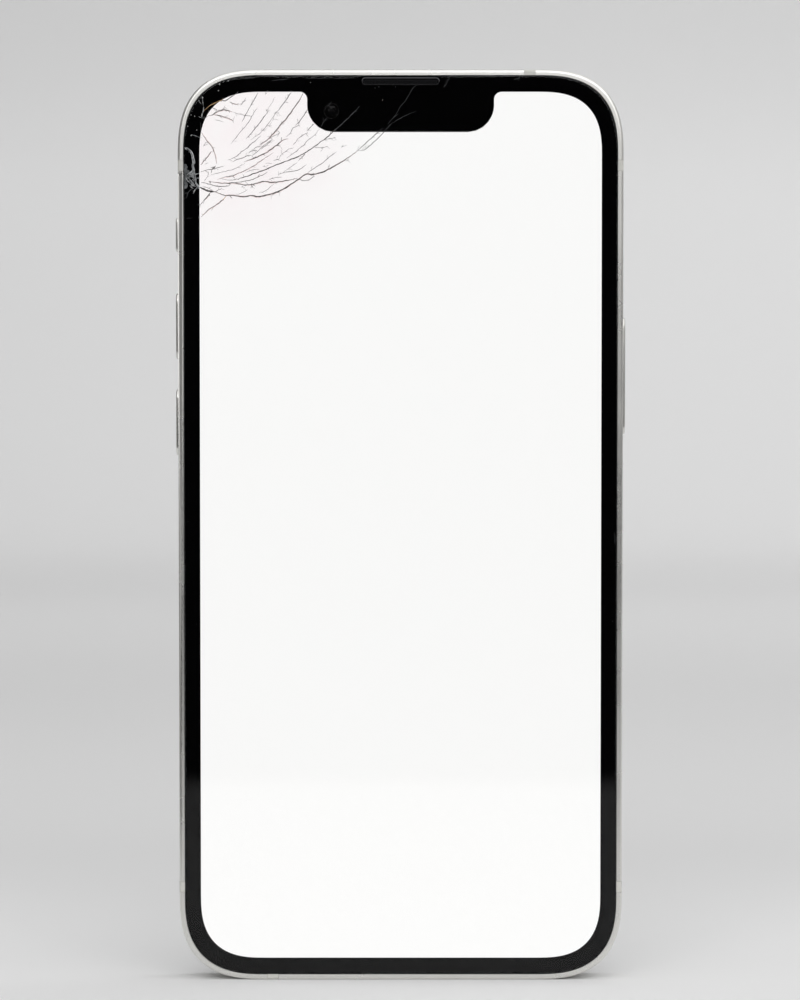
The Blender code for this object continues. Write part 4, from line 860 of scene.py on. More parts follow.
# %% Black print
PRINT_FRONT, PRINT_BACK, PRINT_INSET, CAMERA_HOLE = 0.69, 0.74, 1.08, 1.3
front_camera = middle_of("front_camera")
printed = as_object("black_print", loft(layers([(PRINT_INSET, PRINT_FRONT), (PRINT_INSET, PRINT_BACK)])))
opening = extrusion(picture_outline(), "Y", at_depth(0), at_depth(2))
hole_round = circle((front_camera.x, front_camera.z), CAMERA_HOLE * MM, 64)
camera_hole = extrusion(hole_round, "Y", at_depth(0), at_depth(2))
carve(printed, [opening, camera_hole])
# screen-printed ink behind glass: no reflection of its own, and a very faint unevenness
ink = finish("screen-printed black ink", "#020203", 0.5, ior=1.5, Specular_IOR_Level=0.0,
             shades=(noise(6, 5.0), "#010102", "#040405"))
dress(printed, ink)

# %% [markdown]
# The lit panel is an emitter, a little below white so that it doesn't clip. In the photograph the picture is
# slightly pink inside the fan of cracks, where the bent layers pass less green, so a soft mask round the place of
# the blow tints it there. The mask is drawn from the panel's own coordinates, which are metres.

# %% Lit panel
IMPACT = (-34.2, 130.1)  # where the blow fell, across and up, in millimetres


def lit_panel_finish():
    """The lit display: plain white, warmer round the fan of cracks."""
    skin, tree, shader, place = start_finish("lit display, plain white", "#101010", 0.4, ior=1.5)
    middle = Vector((IMPACT[0] + 10, 0, IMPACT[1] + 5)) * MM
    reach = add_node(tree, "ShaderNodeMapping", {"Location": -middle, "Scale": (1, 0, 1)}, {0: place})
    distance = add_node(tree, "ShaderNodeVectorMath", {"operation": "LENGTH"}, {0: reach.outputs[0]})
    drift = add_node(tree, "ShaderNodeTexNoise", {"Scale": grains(5), "Detail": 3.0}, {"Vector": place})
    near = add_node(tree, "ShaderNodeMapRange",
                    {"interpolation_type": "SMOOTHSTEP", "From Min": 6 * MM, "From Max": 22 * MM, "To Min": 1.0,
                     "To Max": 0.0}, {"Value": distance.outputs["Value"]})
    tint = add_node(tree, "ShaderNodeMath", {"operation": "MULTIPLY"}, {0: near.outputs[0], 1: drift.outputs[0]})
    light = add_node(tree, "ShaderNodeMix", {"data_type": "RGBA", 6: linear("#f9f9f8"), 7: linear("#f6ecee")},
                     {0: tint.outputs[0]})
    tree.links.new(light.outputs[2], shader.inputs["Emission Color"])
    shader.inputs["Emission Strength"].default_value = 1.02
    return skin


def put_on(skin, *nodes):
    """Gives CAD nodes that stay as they are a finish."""
    for node in nodes:
        for holder in bpy.data.objects[node].material_slots:
            holder.material = skin


put_on(lit_panel_finish(), "display_panel")

# %% [markdown]
# ## The cover glass
#
# The glass is lofted with its edges rounded, and cut by the earpiece slot and by the chips that the blow broke
# out of its edge. The faces inside a chip get a second finish: fresh broken glass is bright and rippled, as each
# ripple catches the light on its own.

# %% Cover glass
CHIPS = [(14.6, 0.55, 11), (15.9, 0.95, 12), (17.3, 0.60, 13)]  # millimetres below the corner, radius and seed
SLOT_WIDTH, SLOT_HEIGHT, SLOT_CORNER = 12.9, 1.6, 0.8


def glass_place(right, down, depth=0.0):
    """A place on the glass, in millimetres right of and below its upper left corner."""
    return Vector((glass_low.x + right * MM, at_depth(depth), glass_high.z - down * MM))


inset = GLASS_INSET / MM
rings = [(inset + i, back) for i, back in edge_round(EDGE_OF_GLASS, 6)]
rings += [(inset + i, GLASS_THICKNESS / MM - back) for i, back in reversed(edge_round(0.08, 3))]
glass = as_object("cover_glass_sheet", loft(layers(rings)))
slot_middle = (0, glass_high.z - SLOT_HEIGHT * MM / 2 + MM)
slot = rounded_outline(slot_middle, SLOT_WIDTH * MM, (SLOT_HEIGHT + 2) * MM, SLOT_CORNER * MM, 12)
carve(glass, [extrusion(slot, "Y", at_depth(-1), at_depth(2))])
chip_places = [(glass_place(0, down), radius) for down, radius, _ in CHIPS]
carve(glass, [lumpy_ball(place, radius, (1.0, 0.5, 1.1), seed, 4)
              for (place, radius), (_, _, seed) in zip(chip_places, CHIPS)])
smears = ("Noise", {"Scale": grains(18), "Detail": 8.0, "Distortion": 1.5})
# the anti-reflective coat halves what bare glass would mirror, which an index of 1.36 does here
clear_glass = finish("strengthened cover glass", "#ffffff", 0.0, ior=1.36, Transmission_Weight=1.0,
                     rough=(smears, 0.0, 0.05, 0.52, 0.8))
ripples = ("Wave", {"Scale": grains(0.6), "Distortion": 6.0, "Detail": 3.0})
broken_glass = finish("broken glass, rippled", "#9ea2a4", 0.25, ior=1.51, Transmission_Weight=0.6,
                      relief=(ripples, 0.8, 0.05))
for face in glass.data.polygons:
    flat = abs(face.normal.y) > 0.999 or abs(face.normal.y) < 0.001
    near = any((face.center - place).length < 1.4 * radius * MM for place, radius in chip_places)
    face.material_index = 1 if near and not flat and face.area < 0.05 * MM * MM else 0
dress(glass, [clear_glass, broken_glass], stands_for=["cover_glass"])
print("faces inside the chips:", sum(face.material_index for face in glass.data.polygons))

# %% [markdown]
# A thin black gasket fills the gap between the glass and the rim. It sits a little below both, so it reads as a
# dark line all round.

# %% Gasket
GASKET_OUTER, GASKET_INNER, GASKET_FRONT = 0.91, 1.04, 0.2
gasket_rings = [(GASKET_OUTER, GASKET_FRONT + 0.02), (GASKET_OUTER + 0.03, GASKET_FRONT)]
gasket_rings += [(GASKET_INNER - 0.02, GASKET_FRONT), (GASKET_INNER, GASKET_FRONT + 0.02), (GASKET_INNER, 0.78)]
gasket_rings += [(GASKET_OUTER, 0.78)]
gasket = as_object("gasket", loft(layers(gasket_rings), endless=True))
gasket_rubber = black_moulding("black silicone gasket", "#060606", 0.6)
dress(gasket, gasket_rubber)

# %% [markdown]
# ## Earpiece
#
# The slot at the top of the glass holds a woven steel mesh in a pressed frame. The wires really cross over and
# under each other: each follows a wave whose sign changes at every crossing.

# %% Woven mesh
WIRE_PITCH, WIRE_RADIUS, WIRE_SIDES = 0.25, 0.055, 6


def wire(shape, start, along, across_sign, length, step_axis):
    """Adds one wavy wire of round section to a bmesh."""
    steps = max(4, int(length / WIRE_PITCH * 4))
    rings = []
    for index in range(steps + 1):
        run = length * index / steps
        wave = across_sign * math.cos(math.pi * run / WIRE_PITCH) * WIRE_RADIUS
        ring = []
        for side in range(WIRE_SIDES):
            turn = math.tau * side / WIRE_SIDES
            out, aside = WIRE_RADIUS * math.cos(turn), WIRE_RADIUS * math.sin(turn)
            point = Vector(start) + Vector(along) * run * MM + Vector((0, (wave + out) * MM, 0))
            ring.append(point + Vector(step_axis) * aside * MM)
        rings.append(ring)
    skin_over(shape, rings)


def earpiece_mesh():
    """The woven mesh and its frame, in the place of the plain CAD plate."""
    low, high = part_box("earpiece_mesh")
    middle = (low + high) / 2
    width, height = (high.x - low.x) / MM, (high.z - low.z) / MM
    weave = bmesh.new()
    columns, rows = int(width / WIRE_PITCH) - 1, int(height / WIRE_PITCH)
    for column in range(columns):
        x = middle.x + (column - (columns - 1) / 2) * WIRE_PITCH * MM
        short = (height - 0.14) if 1 < column < columns - 2 else height - 0.5
        wire(weave, (x, middle.y, middle.z - short / 2 * MM), (0, 0, 1), (-1) ** column, short, (1, 0, 0))
    for row in range(rows):
        z = middle.z + (row - (rows - 1) / 2) * WIRE_PITCH * MM
        wire(weave, (low.x + 0.1 * MM, middle.y, z), (1, 0, 0), -(-1) ** row, width - 0.2, (0, 0, 1))
    dress(as_object("earpiece_weave", weave), black_steel, angle=50)
    sections = [(grow, low.y + depth * MM)
                for grow, depth in ((0, 0.02), (-0.04, 0), (-0.12, 0), (-0.16, 0.04), (-0.16, 0.33), (0, 0.33))]
    rings = stacked("Y", (middle.x, middle.z), (width, height), height / 2 - 0.02, sections, 12)
    frame_ring = as_object("earpiece_frame", loft(rings, endless=True))
    return dress(frame_ring, steel_finish("steel, dark plated", "#454547", 0.2),
                 stands_for=["earpiece_mesh"])


earpiece_mesh()

# %% [markdown]
# ## Front camera
#
# A round hole in the black print shows the small front camera: a black barrel with a coated lens that gives only
# a faint glint.

# %% Front camera
barrel = [(0.02, 2.2), (0.45, 2.2), (0.5, 1.5), (0.8, 1.35), (1.15, 1.3), (1.25, 1.05), (1.6, 1.0), (1.7, 1.1),
          (1.7, 2.0), (2.9, 2.0), (3.0, 2.1), (3.0, 5.3), (2.9, 5.4), (0.02, 5.4)]
front_barrel = as_object("front_camera_barrel", turned(front_camera, barrel, 64, endless=False))
dress(front_barrel, black_moulding("black barrel, light-absorbing", "#010101", 0.9),
      stands_for=["front_camera"])
dome = [(0.98, 1.5)] + [(1.0 * math.cos(math.radians(d)), 1.36 - 0.24 * math.sin(math.radians(d)))
                        for d in range(0, 90, 9)] + [(0.01, 1.12)]
dress(as_object("front_camera_element", turned(front_camera, dome, 64, endless=False)), lens_dim)

# %% [markdown]
# ## The cracks
#
# Each crack is a path over the glass that was read off the photograph, in millimetres right of and below the
# glass's upper left corner. A crack in glass is a wall of air, seen edge on as a line. Here each is a closed
# sliver with a flat top flush with the surface and a sharp lower edge inside the glass. Its line is bent a little
# at random, thins out towards its tips, and swells and narrows on the way.

# %% Crack paths
CRACKS = {
    "main_root": (0.24, [(2.5, 17.7), (3.4, 18.2), (4.1, 18.4), (5.0, 18.5)]),
    "main": (0.19, [(4.1, 18.2), (5.2, 18.6), (6.4, 19.0), (7.9, 19.05), (9.4, 19.25), (10.9, 19.1), (11.8, 19.3),
                    (12.8, 19.1), (15.0, 18.5), (17.6, 17.0), (19.5, 15.7), (20.6, 15.7), (22.5, 15.2),
                    (25.7, 13.4), (27.8, 11.9)]),
    "main_upper_root": (0.06, [(2.9, 17.6), (4.1, 18.0), (4.4, 18.2)]),
    "main_tail": (0.08, [(25.8, 13.4), (26.4, 13.4)]),
    "main_spur_a": (0.07, [(13.7, 19.0), (14.0, 19.2)]),
    "main_spur_b": (0.08, [(14.2, 18.7), (15.0, 18.5), (15.3, 18.75)]),
    "main_fork_left": (0.10, [(27.8, 11.9), (31.8, 8.3)]),
    "main_fork_right": (0.10, [(27.8, 11.9), (28.8, 11.8), (29.5, 11.3), (30.7, 10.3), (33.3, 7.5)]),
    "notch_climb": (0.05, [(33.6, 6.5), (34.3, 5.5), (34.9, 4.5), (35.5, 3.9), (36.2, 2.6), (36.8, 1.8), (37.3, 1.4)]),
    "notch_branch": (0.05, [(33.3, 7.5), (35.3, 6.4), (37.2, 5.6)]),
    "notch_twin": (0.05, [(32.6, 7.7), (33.9, 6.3), (34.4, 6.0)]),
    "island": (0.10, [(18.3, 16.4), (18.8, 16.6), (19.5, 16.7), (20.2, 16.4), (20.8, 16.0), (20.6, 15.7)]),
    "second_short": (0.12, [(2.7, 17.0), (3.5, 17.1), (4.9, 17.5), (6.1, 17.6), (7.15, 17.5), (7.5, 17.2)]),
    "third": (0.16, [(3.9, 16.8), (6.1, 17.1), (8.2, 17.1), (9.8, 17.4), (10.8, 17.3), (12.9, 16.8), (14.5, 17.0),
                     (18.2, 16.3)]),
    "rising_root_a": (0.07, [(4.1, 15.9), (5.3, 15.5), (6.6, 15.2), (7.8, 14.9), (8.9, 14.4), (9.6, 14.1)]),
    "rising_root_b": (0.09, [(5.3, 16.5), (6.6, 16.15), (7.8, 15.95), (8.5, 15.6), (10.0, 15.0), (11.2, 14.3),
                             (12.2, 13.6), (13.6, 12.7), (14.3, 12.2)]),
    "rising": (0.15, [(6.0, 16.4), (7.8, 16.6), (9.7, 16.1), (12.8, 15.0), (15.5, 13.9), (17.8, 13.05), (19.5, 12.2),
                      (22.6, 10.0), (23.5, 9.2), (26.1, 6.9), (28.1, 4.8)]),
    "rising_side_a": (0.07, [(22.4, 10.2), (24.3, 9.8)]),
    "rising_side_b": (0.07, [(20.9, 11.4), (22.3, 11.4), (23.1, 11.2)]),
    "rising_tick": (0.06, [(22.3, 11.2), (22.15, 11.8)]),
    "rising_side_c": (0.09, [(19.4, 12.5), (18.3, 13.5)]),
    "rising_root": (0.05, [(6.5, 16.1), (8.5, 15.7)]),
    "rising_under": (0.10, [(7.5, 17.1), (9.2, 16.9), (10.7, 16.6), (12.2, 15.95), (13.4, 15.3)]),
    "rising_over": (0.06, [(9.8, 15.4), (10.6, 15.1), (11.2, 14.9), (12.1, 14.9)]),
    "rising_step": (0.05, [(9.4, 15.6), (9.6, 16.1)]),
    "middle": (0.16, [(9.6, 13.7), (10.7, 13.3), (12.4, 12.6), (13.8, 11.8), (15.1, 10.8), (15.9, 10.2), (16.7, 10.0)]),
    "middle_end": (0.08, [(16.3, 9.7), (17.1, 9.0), (17.5, 8.3), (18.6, 7.8)]),
    "middle_far": (0.11, [(17.8, 7.9), (18.6, 7.1), (19.2, 6.2), (19.9, 5.2)]),
    "middle_spur": (0.08, [(14.8, 11.1), (15.5, 11.2)]),
    "upper_a": (0.10, [(7.8, 13.7), (8.5, 13.3), (9.2, 13.1), (10.2, 12.7), (10.8, 12.7)]),
    "upper_b": (0.09, [(7.0, 13.4), (8.2, 12.9), (9.2, 12.1), (10.2, 11.4), (12.3, 9.5)]),
    "upper_c": (0.08, [(10.8, 12.8), (12.2, 11.6), (13.4, 10.6), (14.2, 10.1)]),
    "upper_d": (0.08, [(10.2, 12.3), (11.0, 11.9), (11.7, 11.9)]),
    "upper_e": (0.07, [(11.0, 11.9), (11.7, 11.3), (12.5, 11.2)]),
    "upper_f": (0.07, [(12.0, 11.05), (13.1, 10.3)]),
    "fan_1": (0.09, [(9.3, 7.3), (10.7, 4.7), (11.2, 3.8), (11.9, 2.6)]),
    "fan_2": (0.08, [(7.5, 10.8), (8.9, 9.1), (10.3, 7.4), (11.2, 5.8), (11.8, 5.0)]),
    "fan_3": (0.11, [(9.9, 10.1), (10.9, 9.0), (11.5, 8.2), (12.4, 7.1), (13.3, 5.8)]),
    "fan_3_end": (0.05, [(13.3, 5.5), (13.75, 4.8), (14.15, 4.2), (14.6, 3.3)]),
    "fan_3_tick": (0.08, [(13.1, 5.3), (13.5, 5.9)]),
    "fan_3_top": (0.06, [(13.0, 3.0), (13.4, 2.5)]),
    "fan_4": (0.11, [(15.1, 5.5), (16.3, 3.9), (17.2, 2.5)]),
    "fan_4_low": (0.07, [(10.7, 10.2), (11.5, 9.6), (12.4, 8.9), (13.5, 7.6), (14.0, 6.9), (14.7, 5.95), (15.1, 5.5)]),
    "fan_4_tick_a": (0.07, [(14.3, 5.9), (15.3, 5.9)]),
    "fan_4_tick_b": (0.07, [(14.1, 7.1), (14.6, 6.85)]),
    "fan_4_tick_c": (0.08, [(13.1, 8.0), (13.8, 7.8)]),
    "fan_4_tick_d": (0.07, [(12.4, 8.65), (13.1, 8.6)]),
    "fan_5": (0.15, [(12.3, 10.9), (13.2, 10.3), (14.0, 9.5), (14.8, 8.65), (15.5, 7.75), (16.4, 6.8), (17.4, 5.4),
                     (18.4, 4.0), (19.1, 2.7)]),
    "fan_5_spur": (0.09, [(14.8, 8.65), (15.3, 9.1), (13.9, 9.7)]),
    "fan_5_tick": (0.07, [(15.5, 7.7), (16.0, 7.7)]),
    "fan_6": (0.08, [(12.3, 11.7), (13.2, 11.0), (14.0, 10.2)]),
    "fan_7": (0.09, [(19.6, 8.8), (20.8, 7.6)]),
    "fan_7_low": (0.10, [(18.3, 10.0), (19.4, 9.2), (19.9, 9.2)]),
    "fan_7_end": (0.06, [(17.5, 11.0), (18.3, 10.0)]),
    "fan_8": (0.08, [(16.4, 13.1), (17.7, 12.2), (18.9, 11.2), (20.1, 10.0), (20.8, 9.5), (21.7, 8.5)]),
    "fan_8_notch": (0.06, [(21.9, 8.1), (22.4, 7.3), (23.0, 6.6)]),
    "fan_9": (0.07, [(15.3, 12.9), (15.8, 12.4), (16.8, 11.7), (17.6, 11.4)]),
    "fan_10": (0.06, [(16.2, 15.1), (17.4, 14.3), (18.2, 13.8)]),
    "fan_11": (0.09, [(15.1, 15.9), (15.6, 15.5), (18.2, 15.0), (19.6, 14.2)]),
    "fan_12": (0.09, [(19.7, 15.5), (22.4, 13.7), (23.3, 12.9), (24.4, 12.1)]),
    "fan_13": (0.07, [(13.5, 16.5), (14.2, 16.3), (15.7, 16.1)]),
    "fan_14": (0.06, [(12.0, 18.6), (12.9, 18.4), (13.7, 17.8), (14.4, 17.2)]),
    "fan_15": (0.06, [(12.6, 14.4), (13.2, 14.5)]),
    "fan_16": (0.08, [(14.3, 13.5), (15.3, 13.2)]),
    "fan_17": (0.07, [(25.2, 11.4), (25.6, 11.0)]),
    "fan_18": (0.05, [(13.0, 14.0), (13.6, 13.9), (14.2, 14.0)]),
    "fan_19": (0.05, [(8.0, 18.85), (9.2, 18.7), (10.2, 18.1)]),
    "fan_20": (0.08, [(10.6, 17.9), (11.1, 17.4), (11.5, 17.6)]),
    "fan_21": (0.06, [(9.1, 17.8), (9.6, 17.6)]),
    "arc": (0.10, [(2.8, 9.0), (3.6, 10.2), (4.3, 11.0), (4.65, 11.6), (5.0, 12.7), (5.2, 14.0)]),
    "arc_foot": (0.15, [(5.1, 14.3), (4.8, 14.6), (4.4, 14.9)]),
    "left_a": (0.11, [(2.6, 14.2), (3.4, 13.3), (4.4, 12.0)]),
    "left_b": (0.09, [(2.6, 15.3), (3.6, 15.05), (5.2, 14.7), (6.5, 14.3)]),
    "left_c": (0.06, [(3.2, 16.8), (3.8, 16.0), (3.9, 15.3)]),
    "left_d": (0.08, [(3.1, 11.2), (3.5, 10.5)]),
    "left_e": (0.05, [(3.2, 14.1), (3.9, 13.8)]),
    "falling_1": (0.15, [(4.25, 18.5), (3.6, 19.4), (3.1, 19.9)]),
    "falling_1_end": (0.07, [(3.1, 19.9), (2.5, 20.6)]),
    "falling_2": (0.11, [(6.8, 19.0), (6.2, 19.75), (5.1, 20.6), (4.1, 21.2), (2.7, 22.5)]),
    "falling_3": (0.10, [(5.4, 18.2), (6.05, 17.95)]),
    "border_j": (0.12, [(2.8, 6.6), (2.85, 6.2), (3.1, 5.6), (3.1, 4.9), (2.95, 3.9), (3.0, 3.5)]),
    "border_j_side": (0.12, [(2.4, 3.95), (2.75, 4.4)]),
    "golden": (0.13, [(3.2, 5.6), (4.1, 4.75), (4.9, 4.3), (5.7, 3.95), (6.1, 3.85), (6.7, 3.95), (7.3, 3.5),
                      (8.6, 2.6)]),
    "border_c": (0.09, [(7.3, 4.1), (7.8, 4.35), (8.8, 4.6)]),
    "border_d": (0.08, [(9.1, 4.7), (9.9, 3.5)]),
    "corner_a": (0.14, [(3.9, 6.3), (4.6, 6.15), (5.6, 5.6), (6.4, 5.4), (7.1, 5.5), (7.7, 5.7)]),
    "corner_a_end": (0.07, [(7.7, 5.7), (8.4, 5.95), (9.2, 6.15), (10.8, 6.4)]),
    "corner_a_root": (0.10, [(2.8, 6.7), (3.5, 6.6), (3.9, 6.3)]),
    "corner_b": (0.08, [(5.7, 5.6), (6.7, 5.0)]),
    "corner_c": (0.08, [(4.4, 5.0), (5.6, 5.5)]),
    "corner_d": (0.13, [(4.8, 6.2), (5.7, 6.3), (6.7, 6.65), (7.9, 7.1)]),
    "corner_d_side": (0.05, [(7.9, 7.1), (8.1, 6.4)]),
    "corner_e": (0.05, [(4.9, 6.9), (5.7, 7.2), (6.5, 7.4)]),
    "rim_a": (0.10, [(2.3, 6.4), (2.8, 6.7)]),
    "rim_b": (0.12, [(1.3, 9.4), (1.7, 9.45), (2.6, 9.85)]),
    "rim_c": (0.05, [(2.6, 7.4), (2.7, 9.1)]),
    "streak": (0.28, [(0.25, 11.4), (0.7, 11.85), (1.1, 12.2), (1.27, 12.8), (1.43, 13.3), (1.53, 13.8), (1.5, 14.2)]),
    "web_a": (0.26, [(1.68, 15.5), (1.73, 16.5), (1.94, 17.1), (2.2, 17.5), (2.45, 17.9)]),
    "web_b": (0.17, [(0.3, 16.3), (0.7, 16.8), (1.3, 17.4), (1.7, 17.7)]),
    "web_c": (0.12, [(0.3, 16.2), (0.9, 16.1), (1.6, 15.7)]),
    "ray_a": (0.13, [(1.9, 15.7), (2.45, 15.5)]),
    "ray_b": (0.11, [(1.94, 16.3), (2.5, 16.3)]),
    "web_tail_a": (0.13, [(0.87, 17.5), (1.43, 17.95)]),
    "web_tail_b": (0.14, [(1.99, 17.85), (1.73, 18.2), (1.38, 18.8)]),
    "web_tail_c": (0.08, [(1.27, 18.0), (0.7, 18.5), (0.4, 19.2), (0.25, 19.6)]),
    "border_far": (0.05, [(0.3, 22.8), (1.4, 22.6)]),
    "notch_corner": (0.05, [(22.9, 4.9), (23.7, 4.0)]),
    "top_line": (0.06, [(42.6, 0.2), (41.6, 1.8)]),
    "top_fleck": (0.06, [(52.8, 0.6), (53.7, 0.25)]),
    "top_edge_a": (0.05, [(6.9, 0.85), (7.5, 0.65), (9.0, 0.42), (11.4, 0.3)]),
    "top_edge_b": (0.05, [(13.9, 0.8), (15.1, 0.6), (17.0, 0.45)]),
    "top_edge_c": (0.04, [(19.4, 0.35), (24.0, 0.32), (27.5, 0.35)]),
    "scratch_a": (0.05, [(69.1, 73.1), (69.2, 75.0)]),
    "scratch_b": (0.06, [(68.2, 135.7), (68.6, 136.0)]),
}
# part of each of these cracks gets a painted golden glint
GLINTING_CRACKS = {"golden", "falling_2"}
WHITE_CRACKS = {"border_j", "border_j_side", "rim_a", "rim_b", "streak", "web_a", "web_b", "web_c", "ray_a", "ray_b",
                "web_tail_a", "web_tail_b"}


def smooth_path(points, spacing=0.35):
    """Points about this far apart along a smooth curve through the given ones (Catmull-Rom)."""
    ends = [points[0]] + points + [points[-1]]
    path = []
    for a, b, c, d in zip(ends, ends[1:], ends[2:], ends[3:]):
        a, b, c, d = (Vector(p) for p in (a, b, c, d))
        steps = max(1, round((c - b).length / spacing))
        for step in range(steps):
            t = step / steps
            path.append(0.5 * (2 * b + (c - a) * t + (2 * a - 5 * b + 4 * c - d) * t * t
                               + (3 * b - a - 3 * c + d) * t ** 3))
    return path + [Vector(points[-1])]


def sideways(path, index):
    """The direction across a path at one of its points."""
    before, after = path[max(0, index - 1)], path[min(len(path) - 1, index + 1)]
    way = (after - before).normalized()
    return Vector((-way.y, way.x))


# %% Cracks
SLIVER_PROUD, SLIVER_DEPTH = 0.006, 0.25
OVER_LIGHT, OVER_BLACK, PAINTED_GLINT, WHITE = 0, 1, 2, 3


def sliver(shape, path, width, seed, name):
    """Adds one crack to a bmesh: a closed sliver with a triangular section along a path."""
    chance = random.Random(seed)
    path = smooth_path(path)
    bends = [p + Vector((chance.gauss(0, 0.03), chance.gauss(0, 0.03))) for p in path]
    bends[0], bends[-1] = path[0], path[-1]
    rings, kinds = [], []
    for index, point in enumerate(bends):
        side = sideways(bends, index)
        share = index / (len(bends) - 1)
        taper = min(1, 0.3 + 3.5 * min(share, 1 - share))
        half = width / 2 * taper * chance.uniform(0.75, 1.2)
        left, right = point + side * half, point - side * half
        depth = SLIVER_DEPTH * taper * min(1, width / 0.1)
        rings.append([glass_place(left.x, left.y, -SLIVER_PROUD), glass_place(point.x, point.y, depth),
                      glass_place(right.x, right.y, -SLIVER_PROUD)])
        centre = glass_place(point.x, point.y)
        if name in GLINTING_CRACKS and share < (0.5 if name == "golden" else 0.2):
            kinds.append(PAINTED_GLINT)
        elif is_lit(centre.x, centre.z):
            kinds.append(OVER_LIGHT)
        else:
            kinds.append(WHITE if name in WHITE_CRACKS else OVER_BLACK)
    count = len(shape.faces)
    skin_over(shape, rings)
    shape.faces.ensure_lookup_table()
    for index in range(2, len(rings) * 3 - 1):
        shape.faces[count + index].material_index = kinds[(index - 2) // 3]
    shape.faces[count].material_index, shape.faces[count + 1].material_index = kinds[0], kinds[-1]


def crack_finish(name, dark, light, roughness):
    """The torn wall of a crack, in two shades that change along it."""
    return finish(name, dark, roughness, ior=1.5, shades=(noise(0.7, 4.0), dark, light, 0.35, 0.65))


crack_finishes = [
    crack_finish("crack wall over the lit picture", "#1d1b1a", "#595350", 0.5),
    crack_finish("crack wall over black print", "#242527", "#4e5052", 0.45),
    crack_finish("crack wall, painted golden glint", "#8a6a45", "#c9a677", 0.35),
    crack_finish("crack wall, crushed white", "#7d8082", "#d9dcdd", 0.4),
]


def barbs(shape, path, width, seed, name):
    """Adds short side cracks that leave a crack at an angle."""
    chance = random.Random(1000 + seed)
    for barb in range(3):
        corner = chance.randrange(len(path) - 1)
        start, after = Vector(path[corner]), Vector(path[corner + 1])
        angle = math.atan2(after.y - start.y, after.x - start.x) + chance.choice((-1, 1)) * chance.uniform(0.4, 1.0)
        start = start.lerp(after, chance.random())
        tip = start + Vector((math.cos(angle), math.sin(angle))) * chance.uniform(0.3, 0.8)
        bend = start.lerp(tip, 0.5) + Vector((chance.uniform(-0.04, 0.04), chance.uniform(-0.04, 0.04)))
        sliver(shape, [tuple(start), tuple(bend), tuple(tip)], width, 3000 + 10 * seed + barb, name)


slivers = bmesh.new()
for seed, (name, (width, path)) in enumerate(CRACKS.items()):
    strands = 3 if name in WHITE_CRACKS and width >= 0.12 else 1
    for strand in range(strands):
        chance = random.Random(seed * 7 + strand)
        shift = width / 2.5 * (strand - (strands - 1) / 2)
        moved = [(x + shift + chance.uniform(-0.3, 0.3) * width * (strands > 1),
                  y + chance.uniform(-0.3, 0.3) * width * (strands > 1)) for x, y in path]
        sliver(slivers, moved, width * (1 if strands == 1 else 0.45), seed + 200 * strand, name)
    if width >= 0.06 and name not in WHITE_CRACKS:
        barbs(slivers, path, width * 0.6, seed, name)
dress(as_object("cracks", slivers), crack_finishes, angle=60)
print(f"{len(CRACKS)} cracks")

# %% [markdown]
# Close to a strong crack the bent glass and the layers under it pass a little less green, so the lit picture has a
# thin rose fringe there. It is drawn as a clear tinted film that follows the crack between the glass and the
# panel, a little wider than the crack.

# %% Rose fringes
FRINGE_DEPTH, FRINGE_PAST_CRACK = 0.745, 0.16


def fringe(shape, path, width, seed):
    """Adds a flat closed strip that follows a crack behind the glass."""
    chance = random.Random(seed + 500)
    path = smooth_path(path, 0.5)
    rings = []
    for index, point in enumerate(path):
        side = sideways(path, index)
        share = index / (len(path) - 1)
        half = width / 2 * min(1, 0.25 + 3 * min(share, 1 - share)) * chance.uniform(0.6, 1.3)
        shift = side * chance.uniform(-0.06, 0.06)
        left, right = point + side * half + shift, point - side * half + shift
        front = FRINGE_DEPTH + 0.004 * seed  # each film at its own depth, so no two coincide
        rings.append([glass_place(*left, front), glass_place(*right, front),
                      glass_place(*right, front + 0.002), glass_place(*left, front + 0.002)])
    skin_over(shape, rings)


FRINGED = ["main", "third", "middle", "falling_1", "falling_2", "corner_a", "corner_d", "fan_5", "arc", "left_a",
           "rising_root_b", "border_c"]
fringes = bmesh.new()
for seed, name in enumerate(FRINGED):
    width, path = CRACKS[name]
    fringe(fringes, path, width + FRINGE_PAST_CRACK, seed)
rose_film = finish("rose fringe of a crack", "#f7e2e4", 0.0, ior=1.01, Transmission_Weight=1.0,
                   shades=(noise(1.2), "#fefcfa", "#f9ecec"))
dress(as_object("crack_fringes", fringes), rose_film, angle=60)

# %% [markdown]
# Where the blow fell the glass is crushed. Small splinters still stick there, and crumbs and dust lie along the
# longer cracks and in the gap between the rim and the glass. Each is a small wedge with six corners, placed and
# turned by a seeded chance.

# %% Splinters and dust
FLATNESS = 0.4


def wedge(shape, place, size, chance):
    """Adds one splinter: a six-cornered wedge, flat on the glass."""
    turn = chance.uniform(0, math.tau)
    tops, lows = [], []
    for step in range(3):
        angle = turn + math.tau * step / 3 + chance.uniform(-0.5, 0.5)
        reach = size * chance.uniform(0.35, 0.65)
        way = Vector((math.cos(angle), 0, math.sin(angle)))
        lows.append(place + way * reach * MM + Vector((0, 0.03 * MM, 0)))
        tops.append(place + way * reach * chance.uniform(0.3, 0.8) * MM
                    - Vector((0, size * FLATNESS * chance.uniform(0.15, 0.5) * MM, 0)))
    skin_over(shape, [lows, tops])


